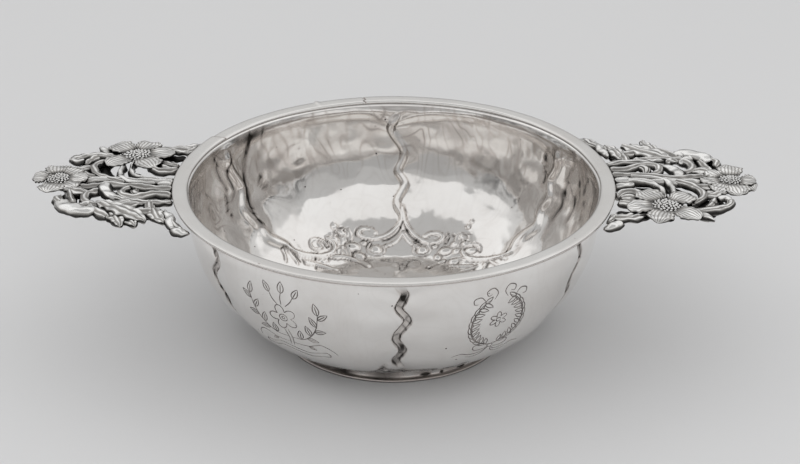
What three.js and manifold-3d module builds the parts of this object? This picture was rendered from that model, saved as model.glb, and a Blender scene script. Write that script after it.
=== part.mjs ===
// Two-handled brandy bowl of sheet silver, in millimetres.
// +Z is up, the foot stands on z = 0, the handles lie along X and the front faces -Y.
import * as THREE from "three";
import { mergeVertices } from "three/addons/utils/BufferGeometryUtils.js";
import Module from "manifold-3d";

const wasm = await Module();
wasm.setup();

// Driving dimensions of the bowl
const rimDiameter = 140;
const rimWidth = 4.4;
const rimThickness = 1.1;
const bowlHeight = 52.5;
const wall = 0.8;
const lipWidth = 2.6;
const footDiameter = 75;
const footHeight = 4.4;
const footWall = 1.2;
const footFlange = 1.1;
const footFlangeThickness = 0.8;
const floorRise = 1.6;

// Driving dimensions of the lobes, of the wavy ribs between them and of the embossed border
const lobeCount = 6;
const lobeDepth = 1.5;
const ribDepth = 1.1;
const ribHalfWidth = 2.0;
const borderHeight = 0.6;
const borderFlat = 0.45;
const pearlHeight = 0.7;
const borderSink = 0.35;

// Driving dimensions of the handles
const handleReach = 45;
const handleHalfWidth = 33;
const handleDrop = 1.1;
const castingHalfThickness = 1.4;
const tipFlowerDiameter = 18.6;
const sideFlowerDiameter = 25.6;
const tipPetals = 6;
const sidePetals = 5;
const bossDiameter = 7.8;
const bossHeight = 1.1;
const petalThickness = 0.9;
const petalNotch = 0.26;
const petalCup = 0.35;
const solderGap = 0.3;

// Facets round the rim and foot, along the wall, across one lobe, round a stem and on a flower
const ringFacets = 96;
const wallRows = 18;
const floorRows = 4;
const lobeColumns = 5;
const pearlFacets = 8;
const stemSides = 6;
const petalFacets = 6;
const shortestCastingEdge = 0.02;
const shortestBorderEdge = 0.005;

// Sizes that follow from the driving ones
const rimRadius = rimDiameter / 2;
const footRadius = footDiameter / 2;
const lipTop = bowlHeight - rimThickness;
const mouthRadius = rimRadius - rimWidth - wall / 4;
const seatOuter = footRadius - footFlange;
const seatInner = seatOuter - footWall;
const floorTop = footHeight + wall;
const lobeAngle = (2 * Math.PI) / lobeCount;
const handleLevel = bowlHeight - handleDrop;
const flowerSeat = handleLevel - castingHalfThickness / 5;

const silver = { color: 0xcfcdc8, roughness: 0.2, metalness: 1 };

// The outer wall from the lip, t = 0, down to the foot's seat, t = 1, as radius and height.
function wallPoint(t, inset) {
  const top = lipTop - wall;
  const angle = (t * Math.PI) / 2;
  const at = (a) => new THREE.Vector2(
    seatOuter + (mouthRadius - seatOuter) * Math.cos(a) ** 1.45,
    top - (top - footHeight) * Math.sin(a) ** 0.78,
  );
  const step = 0.01;
  const low = at(Math.max(angle - step, 0));
  const high = at(Math.min(angle + step, Math.PI / 2));
  const normal = new THREE.Vector2(low.y - high.y, high.x - low.x).normalize();
  return at(angle).addScaledVector(normal, -inset);
}

// The way along the wall from the lip to t, by short chords.
function wallLength(t) {
  const chords = 24;
  let length = 0;
  for (let i = 0; i < chords; i += 1) {
    length += wallPoint((t * i) / chords, 0).distanceTo(wallPoint((t * (i + 1)) / chords, 0));
  }
  return length;
}

const wallWay = wallLength(1);

// The wall's t at a share of the way down it, found by halving.
function wallAt(share) {
  let low = 0;
  let high = 1;
  for (let i = 0; i < 20; i += 1) {
    const middle = (low + high) / 2;
    if (wallLength(middle) < share * wallWay) {
      low = middle;
    } else {
      high = middle;
    }
  }
  return low;
}

// A soft step from 0 below low to 1 above high.
function softStep(value, low, high) {
  return THREE.MathUtils.smoothstep(value, low, high);
}

// Where each rib turns, from the back one anticlockwise: hundredths of the way down the wall,
// and degrees that the rib stands aside there.
const ribTurns = [
  [[0, -1.8], [12.6, 1.4], [30, -3.2], [40, -0.9], [48, -3.9], [59.6, -0.7], [72, -3.7]],
  [[0, 0], [8.4, 0.9], [29.4, -3.7], [42, -0.9], [58.7, -4.6], [77, -11]],
  [[0, 0.9], [14.3, 4.9], [26, 0.3], [37, 3.7], [47, 0.9], [57, 3.7], [62, 2.8], [77, 8.3]],
  [[0, -0.7], [7.7, 3.2], [16, 1.1], [23, 4], [35, 0.5], [47, 3.7], [58, 0], [67, 2.8]],
  [[0, 0], [16.8, 2.8], [27.7, -0.6], [40, 2.3], [50, 0], [60.4, 2.8], [65.4, 1.8], [77, 7.4]],
  [[0, 0.9], [10, 0.4], [23.5, 2.8], [33.6, 0.6], [43.6, 2.4], [51, 0.8], [67, 5.1], [77, 5.5]],
];

// How far rib number stands aside at a share of the way down, easing from one turn to the next.
function ribAside(number, share) {
  const turns = ribTurns[number % lobeCount];
  const next = turns.findIndex(([way]) => way > share * 100);
  if (next < 0) {
    return THREE.MathUtils.degToRad(turns[turns.length - 1][1]);
  }
  const [lowWay, lowSide] = turns[next - 1];
  const [highWay, highSide] = turns[next];
  const ease = softStep(share * 100, lowWay, highWay);
  return THREE.MathUtils.degToRad(THREE.MathUtils.lerp(lowSide, highSide, ease));
}

// How high a rib stands at an angle from its middle, as a share of its full depth, and how much of
// that depth is left at a share of the way down.
const ribAngle = ribHalfWidth / mouthRadius;
const ribProfile = [[0, 1], [0.45, 0.6], [1, 0.1], [1.6, 0]];

function ribShare(aside) {
  const at = Math.abs(aside) / ribAngle;
  const next = ribProfile.findIndex(([place]) => place > at);
  if (next < 0) {
    return 0;
  }
  const [low, lowShare] = ribProfile[next - 1];
  const [high, highShare] = ribProfile[next];
  return THREE.MathUtils.mapLinear(at, low, high, lowShare, highShare);
}

function ribFade(share) {
  return softStep(share, 0.03, 0.09) * (1 - softStep(share, 0.7, 0.79));
}

// One lobe's columns: how far each lies from its rib as an angle, how deep the rib is there,
// and how much of this rib's and of the next rib's wave the column follows.
function lobeColumnList() {
  const first = 1.6 * ribAngle;
  const last = lobeAngle - first;
  const columns = [
    { angle: 0, depth: 1, here: 1, there: 0 },
    { angle: 0.45 * ribAngle, depth: 0.6, here: 1, there: 0 },
    { angle: ribAngle, depth: 0.1, here: 1, there: 0 },
    { angle: first, depth: 0, here: 0.95, there: 0 },
  ];
  for (let i = 1; i <= lobeColumns; i += 1) {
    const across = i / (lobeColumns + 1);
    const here = Math.max(0, 1 - 2 * across);
    const there = Math.max(0, 2 * across - 1);
    columns.push({ angle: THREE.MathUtils.lerp(first, last, across), depth: 0, here, there });
  }
  columns.push({ angle: last, depth: 0, here: 0, there: 0.95 });
  columns.push({ angle: lobeAngle - ribAngle, depth: 0.1, here: 0, there: 1 });
  columns.push({ angle: lobeAngle - 0.45 * ribAngle, depth: 0.6, here: 0, there: 1 });
  return columns;
}

// How far the lobes draw the sheet in at a share of the way down. across runs from -1 at one rib
// to 1 at the next.
function lobeInward(share, across) {
  return lobeDepth * across ** 4 * Math.sin(Math.PI * share) ** 0.5;
}

// A closed body from rings of equal length between a first and a last pole.
function closedFromRings(firstPole, rings, lastPole) {
  const positions = [...firstPole];
  for (const ring of rings) {
    for (const point of ring) {
      positions.push(...point);
    }
  }
  positions.push(...lastPole);
  const count = rings[0].length;
  const last = rings.length * count + 1;
  const index = [];
  for (let i = 0; i < count; i += 1) {
    const j = (i + 1) % count;
    index.push(0, 1 + j, 1 + i);
    for (let k = 0; k + 1 < rings.length; k += 1) {
      const a = 1 + k * count;
      const b = a + count;
      index.push(a + i, a + j, b + j, a + i, b + j, b + i);
    }
    const end = 1 + (rings.length - 1) * count;
    index.push(end + i, end + j, last);
  }
  const geometry = new THREE.BufferGeometry();
  geometry.setAttribute("position", new THREE.Float32BufferAttribute(positions, 3));
  geometry.setIndex(index);
  geometry.computeVertexNormals();
  return geometry;
}

// The raised bowl: six lobes bulge between wavy ribs, and the lip is turned out flat under the rim.
function bowlGeometry() {
  const columns = [];
  for (let lobe = 0; lobe < lobeCount; lobe += 1) {
    for (const column of lobeColumnList()) {
      columns.push({ ...column, lobe, base: Math.PI / 2 + lobe * lobeAngle });
    }
  }
  const circle = (radius, height) => columns.map(({ base, angle }) => [
    radius * Math.cos(base + angle),
    radius * Math.sin(base + angle),
    height,
  ]);
  const lobed = (t, inset) => {
    const share = wallLength(t) / wallWay;
    return columns.map(({ lobe, base, angle, depth, here, there }) => {
      const inward = lobeInward(share, (2 * angle) / lobeAngle - 1) + ribDepth * depth * ribFade(share);
      const { x: radius, y: height } = wallPoint(t, inset + inward);
      const aside = here * ribAside(lobe, share) + there * ribAside(lobe + 1, share);
      const turn = base + angle + aside;
      return [radius * Math.cos(turn), radius * Math.sin(turn), height];
    });
  };
  const rings = [];
  for (let i = 1; i < floorRows; i += 1) {
    const share = i / floorRows;
    rings.push(circle(seatInner * share, footHeight + floorRise * (1 - share ** 2)));
  }
  rings.push(circle(seatInner, footHeight));
  rings.push(circle(seatOuter, footHeight));
  for (let i = wallRows - 1; i >= 0; i -= 1) {
    rings.push(lobed(i / wallRows, 0));
  }
  rings.push(circle(mouthRadius + lipWidth, lipTop - wall));
  rings.push(circle(mouthRadius + lipWidth, lipTop));
  rings.push(circle(mouthRadius - wall, lipTop));
  for (let i = 1; i < wallRows; i += 1) {
    rings.push(lobed(i / wallRows, wall));
  }
  rings.push(circle(seatOuter - wall, floorTop));
  for (let i = floorRows - 1; i > 0; i -= 1) {
    const share = i / floorRows;
    rings.push(circle(seatInner * share, floorTop + floorRise * (1 - share ** 2)));
  }
  return closedFromRings([0, 0, footHeight + floorRise], rings, [0, 0, floorTop + floorRise]);
}

// The embossed border's main lines and pearls, in hundredths of the sheet unrolled flat about the
// back rib: x to the right and y from the middle of the floor up the wall.
const borderLines = [
  // Scrolls that branch from the rib's foot, and the double line inside them
  { halfWidth: 1.1, points: [[3.3, 60.7], [1.7, 53.9], [-4.2, 48.7], [-11.7, 48], [-13.2, 50.8], [-8.8, 51.3]] },
  { halfWidth: 1.1, points: [[3.8, 57], [6.9, 50], [12.6, 45.6], [18, 46], [16.3, 49]] },
  { halfWidth: 0.8, points: [[3, 49.8], [-0.8, 45.6], [-4, 43.3], [-7.1, 39.9], [-9.9, 43.1]] },
  { halfWidth: 0.8, points: [[3.3, 49.8], [7.3, 44.8], [8.6, 39.7], [12.8, 40.6], [12.8, 44.8]] },
  // Scrolls that the next ribs' feet run into
  { halfWidth: 1.1, points: [[-50.4, 34.9], [-37.8, 34.1], [-26.8, 36.3], [-22.3, 41], [-25.3, 44.9]] },
  { halfWidth: 1.1, points: [[55, 34.4], [48.1, 33.1], [44.5, 29.9], [33.5, 32.4], [25.3, 38.7], [29.9, 40.9]] },
  // Broad leaf
  { halfWidth: 1.4, points: [[-21.5, 37], [-14.2, 36.5], [-9, 31]] },
];
const borderPearls = [
  { place: [-6.8, 42.8], radius: 2.3 },
  { place: [10.4, 42], radius: 2.3 },
  { place: [-15.5, 43.1], radius: 2.7 },
  { place: [-12.9, 39.1], radius: 2.3 },
  { place: [18.8, 40.6], radius: 2.5 },
  { place: [15.9, 37.9], radius: 1.7 },
  { place: [21.7, 34.6], radius: 2 },
  { place: [28.5, 38.4], radius: 2.2 },
  { place: [-20.1, 48.4], radius: 1.7 },
  { place: [-22.6, 45.3], radius: 1.7 },
  { place: [26, 45], radius: 1.6 },
  { place: [-23.2, 50.6], radius: 1.6 },
];
const unrolledRadius = seatOuter + wallWay;

// A plan point seen in the rib that stands one lobe from the back one, for the side lobes.
function inNextRib([x, y]) {
  const radius = Math.hypot(x, y);
  const angle = Math.sign(x) * (2 * lobeAngle - Math.abs(Math.atan2(x, y)));
  return [radius * Math.sin(angle), radius * Math.cos(angle)];
}

// A plan point on the sheet's inner side, lifted off it. half is 0 for the back and 1 for the front.
function borderPoint([x, y], lift, half) {
  const radius = (Math.hypot(x, y) / 100) * unrolledRadius;
  const angle = Math.PI / 2 - Math.atan2(x, y);
  const turn = angle + half * Math.PI;
  const way = unrolledRadius - radius;
  if (way > wallWay) {
    const height = floorTop + floorRise * (1 - (radius / seatInner) ** 2);
    return [radius * Math.cos(turn), radius * Math.sin(turn), Math.max(height, floorTop) + lift];
  }
  const share = way / wallWay;
  const fromBack = THREE.MathUtils.euclideanModulo(turn - Math.PI / 2, 2 * Math.PI);
  const inLobe = fromBack % lobeAngle;
  const lobe = Math.floor(fromBack / lobeAngle);
  const fromThis = inLobe - ribAside(lobe, share);
  const fromNext = inLobe - lobeAngle - ribAside(lobe + 1, share);
  const rib = ribDepth * Math.max(ribShare(fromThis), ribShare(fromNext)) * ribFade(share);
  const inward = lobeInward(share, (2 * inLobe) / lobeAngle - 1) + rib;
  const point = wallPoint(wallAt(share), wall + inward + lift);
  return [point.x * Math.cos(turn), point.x * Math.sin(turn), point.y];
}

// A raised line of the border: a low flat-topped section along smooth plan points, sunk in the sheet.
function borderLineGeometry({ points, halfWidth }, half) {
  const curve = new THREE.CatmullRomCurve3(points.map(([x, y]) => new THREE.Vector3(x, y, 0)));
  const steps = 2 * (points.length - 1);
  const rings = [];
  for (let i = 0; i <= steps; i += 1) {
    const { x, y } = curve.getPointAt(i / steps);
    const tangent = curve.getTangentAt(i / steps);
    const narrow = i === 0 || i === steps ? 0.5 : 1;
    const beside = (share, lift) => borderPoint(
      [x - tangent.y * share * halfWidth * narrow, y + tangent.x * share * halfWidth * narrow],
      lift,
      half,
    );
    rings.push([
      beside(1, -borderSink),
      beside(borderFlat, borderHeight * narrow),
      beside(-borderFlat, borderHeight * narrow),
      beside(-1, -borderSink),
    ]);
  }
  const first = borderPoint(points[0], 0, half);
  const last = borderPoint(points[points.length - 1], 0, half);
  return closedFromRings(first, rings, last);
}

// A pearl of the border: a low dome, sunk in the sheet.
function borderPearlGeometry({ place: [x, y], radius }, half) {
  const ring = (reach, lift) => {
    const points = [];
    for (let i = 0; i < pearlFacets; i += 1) {
      const angle = (2 * Math.PI * i) / pearlFacets;
      points.push(borderPoint([x + reach * Math.cos(angle), y + reach * Math.sin(angle)], lift, half));
    }
    return points;
  };
  const rings = [ring(radius, -borderSink), ring(radius * 0.75, pearlHeight * 0.65)];
  const under = borderPoint([x, y], -borderSink, half);
  const top = borderPoint([x, y], pearlHeight, half);
  return closedFromRings(under, rings, top);
}

// The bowl with its border joined on, the same on both halves. The side lobes repeat what lies near
// the next rib and clear of that rib itself.
function embossedBowlGeometry() {
  const repeatFrom = 0.46 * lobeAngle;
  const repeatWithin = 52;
  const past = ([x, y]) => Math.abs(Math.atan2(x, y)) > repeatFrom && Math.hypot(x, y) < repeatWithin;
  const lines = [...borderLines];
  for (const { points, halfWidth } of borderLines) {
    const kept = points.filter(past);
    if (kept.length > 2) {
      lines.push({ points: kept.map(inNextRib), halfWidth });
    }
  }
  const pearls = [...borderPearls];
  for (const { place, radius } of borderPearls.filter((pearl) => past(pearl.place))) {
    pearls.push({ place: inNextRib(place), radius });
  }
  let solid = toSolid(bowlGeometry());
  for (const half of [0, 1]) {
    for (const line of lines) {
      solid = solid.add(toSolid(borderLineGeometry(line, half)));
    }
    for (const pearl of pearls) {
      solid = solid.add(toSolid(borderPearlGeometry(pearl, half)));
    }
  }
  return fromSolid(solid, shortestBorderEdge);
}

// A ring turned about Z from a closed outline of radius and height, listed anticlockwise.
function turnedRing(outline) {
  const points = outline.map(([radius, height]) => new THREE.Vector2(radius, height));
  points.push(points[0].clone());
  return new THREE.LatheGeometry(points, ringFacets).rotateX(Math.PI / 2);
}

// The flat rim: a strip with a rounded inner edge, lying on the turned-out lip.
function rimGeometry() {
  const inner = rimRadius - rimWidth;
  const half = rimThickness / 2;
  return turnedRing([
    [inner, lipTop],
    [rimRadius - half / 2, lipTop],
    [rimRadius, lipTop + half / 2],
    [rimRadius, bowlHeight - half / 2],
    [rimRadius - half / 2, bowlHeight],
    [inner + half, bowlHeight],
    [inner, bowlHeight - half / 3],
    [inner - half / 2, bowlHeight - half],
  ]);
}

// The foot: an upright strip with a thin flange at the floor.
function footGeometry() {
  return turnedRing([
    [seatInner, 0],
    [footRadius, 0],
    [footRadius, footFlangeThickness],
    [seatOuter, footFlangeThickness * 1.6],
    [seatOuter, footHeight],
    [seatInner, footHeight],
  ]);
}

// A point of the handle's plan, in hundredths. out runs from the rim's edge, 0, to the tip, 100,
// and across from one side, -100, to the other.
function planPoint([out, across]) {
  const y = (across / 100) * handleHalfWidth;
  const drop = rimRadius - Math.sqrt(rimRadius ** 2 - y ** 2);
  const x = rimRadius - drop + (out / 100) * (handleReach + drop);
  return new THREE.Vector3(x, y, handleLevel);
}

// A stem or leaf swept along plan points: halfWidth wide at its broadest, with ends that close
// to endShare of that width.
function sweptGeometry({ points, halfWidth, endShare = 0.75 }) {
  const curve = new THREE.CatmullRomCurve3(points.map(planPoint));
  const steps = 2 * points.length;
  const rings = [];
  for (let i = 0; i <= steps; i += 1) {
    const t = i / steps;
    const centre = curve.getPointAt(t);
    const tangent = curve.getTangentAt(t);
    const side = new THREE.Vector3(-tangent.y, tangent.x, 0).normalize();
    const swell = endShare + (1 - endShare) * Math.sin(Math.PI * t) ** 0.7;
    const ring = [];
    for (let k = 0; k < stemSides; k += 1) {
      const angle = (2 * Math.PI * k) / stemSides;
      const point = centre.clone().addScaledVector(side, halfWidth * swell * Math.cos(angle));
      point.z += castingHalfThickness * swell ** 0.5 * Math.sin(angle);
      ring.push(point.toArray());
    }
    rings.push(ring);
  }
  return closedFromRings(curve.getPoint(0).toArray(), rings, curve.getPoint(1).toArray());
}

// The casting's stems and leaves, seen from above on the right-hand handle.
const castingPieces = [
  // Two long stems from the rim to the tip flower
  { points: [[-1, 1], [18, -1], [40, -2], [58, -2], [74, -1]], halfWidth: 1.5 },
  { points: [[-1, 18], [16, 15], [31, 8], [49, 11], [63, 15], [73, 9]], halfWidth: 1.3 },
  // Stems that turn to the side flower, one of them in a wide loop
  { points: [[11, 3], [27, -2], [36, -11], [39, -27], [35, -52]], halfWidth: 1.1 },
  { points: [[31, -3], [47, -12], [57, -26], [59, -39], [52, -54], [41, -58]], halfWidth: 1.2 },
  { points: [[-1, -33], [12, -29], [21, -36], [30, -52]], halfWidth: 1.5 },
  { points: [[-1, -44], [13, -50], [28, -56]], halfWidth: 1.6 },
  // Leaf and shell along the rim below the side flower
  { points: [[0, -74], [13, -77], [30, -62]], halfWidth: 2.5, endShare: 0.5 },
  { points: [[2, -74], [4, -91], [4, -105]], halfWidth: 1.8, endShare: 0.4 },
  // Curled leaf and pointed tip beyond the side flower
  { points: [[42, -60], [58, -62], [73, -56], [77, -44]], halfWidth: 2, endShare: 0.6 },
  { points: [[44, -62], [58, -74], [64, -83]], halfWidth: 1.5, endShare: 0.3 },
  // Ribbon that turns over the stems
  { points: [[-1, 41], [14, 45], [25, 44], [39, 35]], halfWidth: 1.5 },
  { points: [[36, 39], [42, 27], [45, 12], [47, 0]], halfWidth: 2.1, endShare: 0.8 },
  // Stem with a curled end
  { points: [[-1, 27], [10, 27], [19, 33], [28, 29], [28, 20], [21, 14]], halfWidth: 1.4 },
  // Bowed stalk of the broad leaf, and the leaf
  { points: [[47, 9], [58, 20], [59, 33], [55, 45], [47, 52]], halfWidth: 1.3 },
  { points: [[52, 41], [39, 56], [28, 70], [21, 81]], halfWidth: 3.6, endShare: 0.4 },
  { points: [[19, 44], [34, 50], [47, 48]], halfWidth: 2.2, endShare: 0.3 },
  // Petals that stand out behind the broad leaf
  { points: [[44, 59], [39, 77], [36, 91]], halfWidth: 2.4, endShare: 0.4 },
  { points: [[30, 70], [29, 93]], halfWidth: 1.6, endShare: 0.4 },
  { points: [[54, 53], [48, 68], [41, 77]], halfWidth: 1.6, endShare: 0.5 },
  // Rolled bud beside the tip flower, with the stems that hold it
  { points: [[52, 69], [64, 58], [77, 45]], halfWidth: 3.2, endShare: 0.7 },
  { points: [[74, 48], [77, 33]], halfWidth: 1.5 },
  { points: [[67, 48], [70, 30], [73, 10]], halfWidth: 1.3 },
  { points: [[52, 45], [62, 57]], halfWidth: 1.8 },
  // Leaf and shell along the rim on the far side, tied to the broad leaf and the ribbon
  { points: [[5, 97], [9, 80], [18, 60]], halfWidth: 3, endShare: 0.3 },
  { points: [[14, 62], [28, 68]], halfWidth: 2 },
  { points: [[16, 63], [16, 43]], halfWidth: 1.6 },
  { points: [[5, 80], [5, 97], [3, 107]], halfWidth: 1.6, endShare: 0.4 },
];

// The flower heads' places on that plan, and how far each is turned
const flowerHeads = {
  tip: {
    centre: [100 - (50 * tipFlowerDiameter) / handleReach, -1],
    diameter: tipFlowerDiameter,
    petals: tipPetals,
    turn: 0,
  },
  side: {
    centre: [34, -57],
    diameter: sideFlowerDiameter,
    petals: sidePetals,
    turn: THREE.MathUtils.degToRad(41),
  },
};

// A closed geometry as a solid that can be joined and cut.
function toSolid(geometry) {
  const bare = geometry.clone();
  bare.deleteAttribute("normal");
  bare.deleteAttribute("uv");
  const merged = mergeVertices(bare, 1e-4);
  return new wasm.Manifold(new wasm.Mesh({
    numProp: 3,
    vertProperties: new Float32Array(merged.attributes.position.array),
    triVerts: new Uint32Array(merged.index.array),
  }));
}

// The joined solid as a geometry whose shortest edges are closed up, so that no sliver is left.
function fromSolid(solid, shortestEdge) {
  const mesh = solid.getMesh();
  const joined = new THREE.BufferGeometry();
  joined.setAttribute("position", new THREE.BufferAttribute(new Float32Array(mesh.vertProperties), 3));
  joined.setIndex(new THREE.BufferAttribute(new Uint32Array(mesh.triVerts), 1));
  const welded = mergeVertices(joined, shortestEdge);
  const corners = welded.index.array;
  const kept = [];
  for (let i = 0; i < corners.length; i += 3) {
    const [a, b, c] = corners.slice(i, i + 3);
    if (a !== b && b !== c && c !== a) {
      kept.push(a, b, c);
    }
  }
  welded.setIndex(kept);
  welded.computeVertexNormals();
  return welded;
}

// An upright cylinder as a cutter, from bottom to top at a plan position.
function cutter(radius, bottom, top, x, y, facets) {
  const geometry = new THREE.CylinderGeometry(radius, radius, top - bottom, facets);
  geometry.rotateX(Math.PI / 2);
  geometry.translate(x, y, (bottom + top) / 2);
  return toSolid(geometry);
}

// The openwork casting: stems and leaves joined, then cut clear of the rim and of the flowers.
function castingGeometry() {
  let solid = null;
  for (const piece of castingPieces) {
    const next = toSolid(sweptGeometry(piece));
    solid = solid ? solid.add(next) : next;
  }
  const above = bowlHeight + bossHeight + petalThickness;
  const heads = Object.values(flowerHeads);
  for (const { centre } of heads) {
    const { x, y } = planPoint(centre);
    solid = solid.add(cutter(bossDiameter / 2, flowerSeat - castingHalfThickness, flowerSeat, x, y, ringFacets / 4));
  }
  for (const { centre, diameter } of heads) {
    const { x, y } = planPoint(centre);
    solid = solid.subtract(cutter(diameter / 2 + solderGap, flowerSeat, above, x, y, ringFacets / 4));
  }
  solid = solid.subtract(cutter(rimRadius + solderGap, 0, above, 0, 0, ringFacets));
  return fromSolid(solid, shortestCastingEdge);
}

// A flower head about its own centre: rounded petals that rise outward round a domed boss.
function flowerGeometry({ diameter, petals }) {
  const radius = diameter / 2;
  const boss = bossDiameter / 2;
  const count = petals * petalFacets;
  const petalShape = (angle) => Math.abs(Math.cos((petals * angle) / 2));
  const ring = (reach, height, shaped) => {
    const points = [];
    for (let i = 0; i < count; i += 1) {
      const angle = (2 * Math.PI * i) / count;
      const r = shaped ? reach * (1 - petalNotch * (1 - petalShape(angle) ** 0.5)) : reach;
      const lift = shaped ? petalCup * petalShape(angle) : 0;
      points.push([r * Math.cos(angle), r * Math.sin(angle), height + lift]);
    }
    return points;
  };
  const under = flowerSeat + solderGap;
  const top = under + petalThickness;
  const rings = [
    ring(boss * 0.9, under, false),
    ring(radius, under + petalThickness / 3, true),
    ring(radius * 0.98, top, true),
    ring(radius * 0.7, top + petalCup / 2, true),
    ring(boss * 1.15, top - petalCup / 2, false),
    ring(boss, top + bossHeight * 0.3, false),
    ring(boss * 0.6, top + bossHeight * 0.85, false),
  ];
  return closedFromRings([0, 0, under], rings, [0, 0, top + bossHeight]);
}

function namedMesh(name, geometry) {
  const mesh = new THREE.Mesh(geometry, new THREE.MeshStandardMaterial(silver));
  mesh.name = name;
  return mesh;
}

// One handle: the casting and its two flower heads, drawn for the right-hand side.
function handleGroup(side) {
  const group = new THREE.Group();
  group.add(namedMesh(`handle_casting_${side}`, castingGeometry()));
  for (const [place, head] of Object.entries(flowerHeads)) {
    const flower = namedMesh(`${place}_flower_${side}`, flowerGeometry(head));
    const { x, y } = planPoint(head.centre);
    flower.position.set(x, y, 0);
    flower.rotation.z = head.turn;
    group.add(flower);
  }
  return group;
}

const brandyBowl = new THREE.Group();
brandyBowl.add(namedMesh("bowl_body", embossedBowlGeometry()));
brandyBowl.add(namedMesh("rim_band", rimGeometry()));
brandyBowl.add(namedMesh("foot_ring", footGeometry()));
const rightHandle = handleGroup("right");
const leftHandle = handleGroup("left");
leftHandle.rotation.z = Math.PI;
brandyBowl.add(rightHandle, leftHandle);

export default brandyBowl;
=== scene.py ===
"""A two-handled brandy bowl of raised and cast silver, dressed round its CAD solids.
Shapes are worked out in millimetres; put_mesh turns them into metres."""
import math

import bpy
import numpy as np
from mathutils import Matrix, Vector


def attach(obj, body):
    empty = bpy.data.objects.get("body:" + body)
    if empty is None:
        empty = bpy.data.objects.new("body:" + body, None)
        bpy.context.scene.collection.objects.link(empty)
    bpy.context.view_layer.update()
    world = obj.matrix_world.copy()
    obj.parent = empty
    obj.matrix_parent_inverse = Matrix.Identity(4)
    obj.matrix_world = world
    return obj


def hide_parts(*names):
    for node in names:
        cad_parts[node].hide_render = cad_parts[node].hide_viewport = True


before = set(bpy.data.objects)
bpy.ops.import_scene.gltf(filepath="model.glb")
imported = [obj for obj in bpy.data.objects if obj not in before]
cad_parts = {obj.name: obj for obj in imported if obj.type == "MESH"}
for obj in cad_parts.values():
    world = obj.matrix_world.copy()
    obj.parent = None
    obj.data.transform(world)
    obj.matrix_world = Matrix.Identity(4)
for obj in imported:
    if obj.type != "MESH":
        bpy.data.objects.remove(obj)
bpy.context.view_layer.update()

MM = 0.001
TURN = 2 * math.pi

# Sizes of the bowl, the same as in the CAD source
RIM_RADIUS = 70.0
RIM_WIDTH = 4.4
RIM_THICKNESS = 1.1
BOWL_HEIGHT = 52.5
WALL = 0.8
LIP_WIDTH = 2.6
FOOT_RADIUS = 37.5
FOOT_HEIGHT = 4.4
FOOT_WALL = 1.2
FOOT_FLANGE = 1.1
FLOOR_RISE = 1.6
LOBES = 6
LOBE_DEPTH = 1.5
RIB_DEPTH = 0.8
HANDLE_LEVEL = 51.1

LIP_TOP = BOWL_HEIGHT - RIM_THICKNESS
MOUTH = RIM_RADIUS - RIM_WIDTH - WALL / 4
SEAT = FOOT_RADIUS - FOOT_FLANGE
LOBE_ANGLE = TURN / LOBES
# A distance that is beyond all others
FAR = 99.0


# Small helpers


def smooth_step(value, low, high):
    """0 below low, 1 above high, and three t squared less two t cubed between."""
    t = np.clip((value - low) / (high - low), 0, 1)
    return t * t * (3 - 2 * t)


def bell(value, width):
    """A bump of height 1 that falls off as e to the minus square of value over width."""
    return np.exp(-((value / width) ** 2))


def turn_from(theta, middle):
    """The angle from middle to theta, between minus and plus half a turn."""
    return (theta - middle + math.pi) % TURN - math.pi


def round_points(radius, theta, height):
    """Points at a radius and an angle about Z, and at a height."""
    return np.stack(np.broadcast_arrays(radius * np.cos(theta), radius * np.sin(theta), height), -1)


def read_between(places, marks, table):
    """A table's rows read at the given places between its marks."""
    return np.stack([np.interp(places, marks, column) for column in table.T], -1)


def smooth_path(points, count):
    """Count points spread evenly by length along the Catmull-Rom curve through the given ones."""
    p = np.asarray(points, float)
    p = np.vstack([2 * p[0] - p[1], p, 2 * p[-1] - p[-2]])
    t = np.linspace(0, 1, 20, endpoint=False)[:, None]
    a, b, c, d = p[:-3, None], p[1:-2, None], p[2:-1, None], p[3:, None]
    curve = 0.5 * (2 * b + (c - a) * t + (2 * a - 5 * b + 4 * c - d) * t**2 + (3 * b - a - 3 * c + d) * t**3)
    curve = np.vstack([curve.reshape(-1, p.shape[1]), p[-2]])
    way = np.r_[0, np.cumsum(np.linalg.norm(np.diff(curve, axis=0), axis=1))]
    return read_between(np.linspace(0, way[-1], count), way, curve)


def unit(vectors):
    """Each vector over its own length."""
    return vectors / np.maximum(np.linalg.norm(vectors, axis=-1, keepdims=True), 1e-9)


def waves_round(theta, way, pitch, seed):
    """A soft uneven surface: a sum of plane waves of about one pitch in random directions. Each goes a whole
    number of times round the bowl."""
    count = 18
    mean_radius = 58
    rng = np.random.default_rng(seed)
    total = np.zeros(np.broadcast(theta, way).shape)
    for _ in range(count):
        heading = rng.uniform(0, TURN)
        number = TURN / (pitch * rng.uniform(0.75, 1.4))
        turns = round(number * math.cos(heading) * mean_radius)
        total += np.cos(turns * theta + number * math.sin(heading) * way + rng.uniform(0, TURN))
    return total / math.sqrt(count)


# Bodies as arrays: points, quads and triangles


def wound_body(rings, dark=None):
    """A closed body over rings (rows, sides, 3); the first and the last row are drawn to their centres.
    dark is each point's share of tarnish and painted shade."""
    rows, sides = rings.shape[:2]
    start = np.arange(rows - 1)[:, None] * sides
    j = np.arange(sides)[None, :]
    k = (j + 1) % sides
    quads = np.stack([start + j, start + k, start + sides + k, start + sides + j], -1).reshape(-1, 4)
    centre = rows * sides
    end = centre - sides
    j, k = j[0], k[0]
    fans = np.vstack([
        np.stack([np.full(sides, centre), k, j], -1),
        np.stack([np.full(sides, centre + 1), end + j, end + k], -1),
    ])
    points = np.vstack([rings.reshape(-1, 3), rings[0].mean(0), rings[-1].mean(0)])
    if dark is None:
        dark = np.zeros((rows, sides))
    return *facing_out(points, quads, fans), np.r_[dark.ravel(), dark[0].mean(), dark[-1].mean()]


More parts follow.
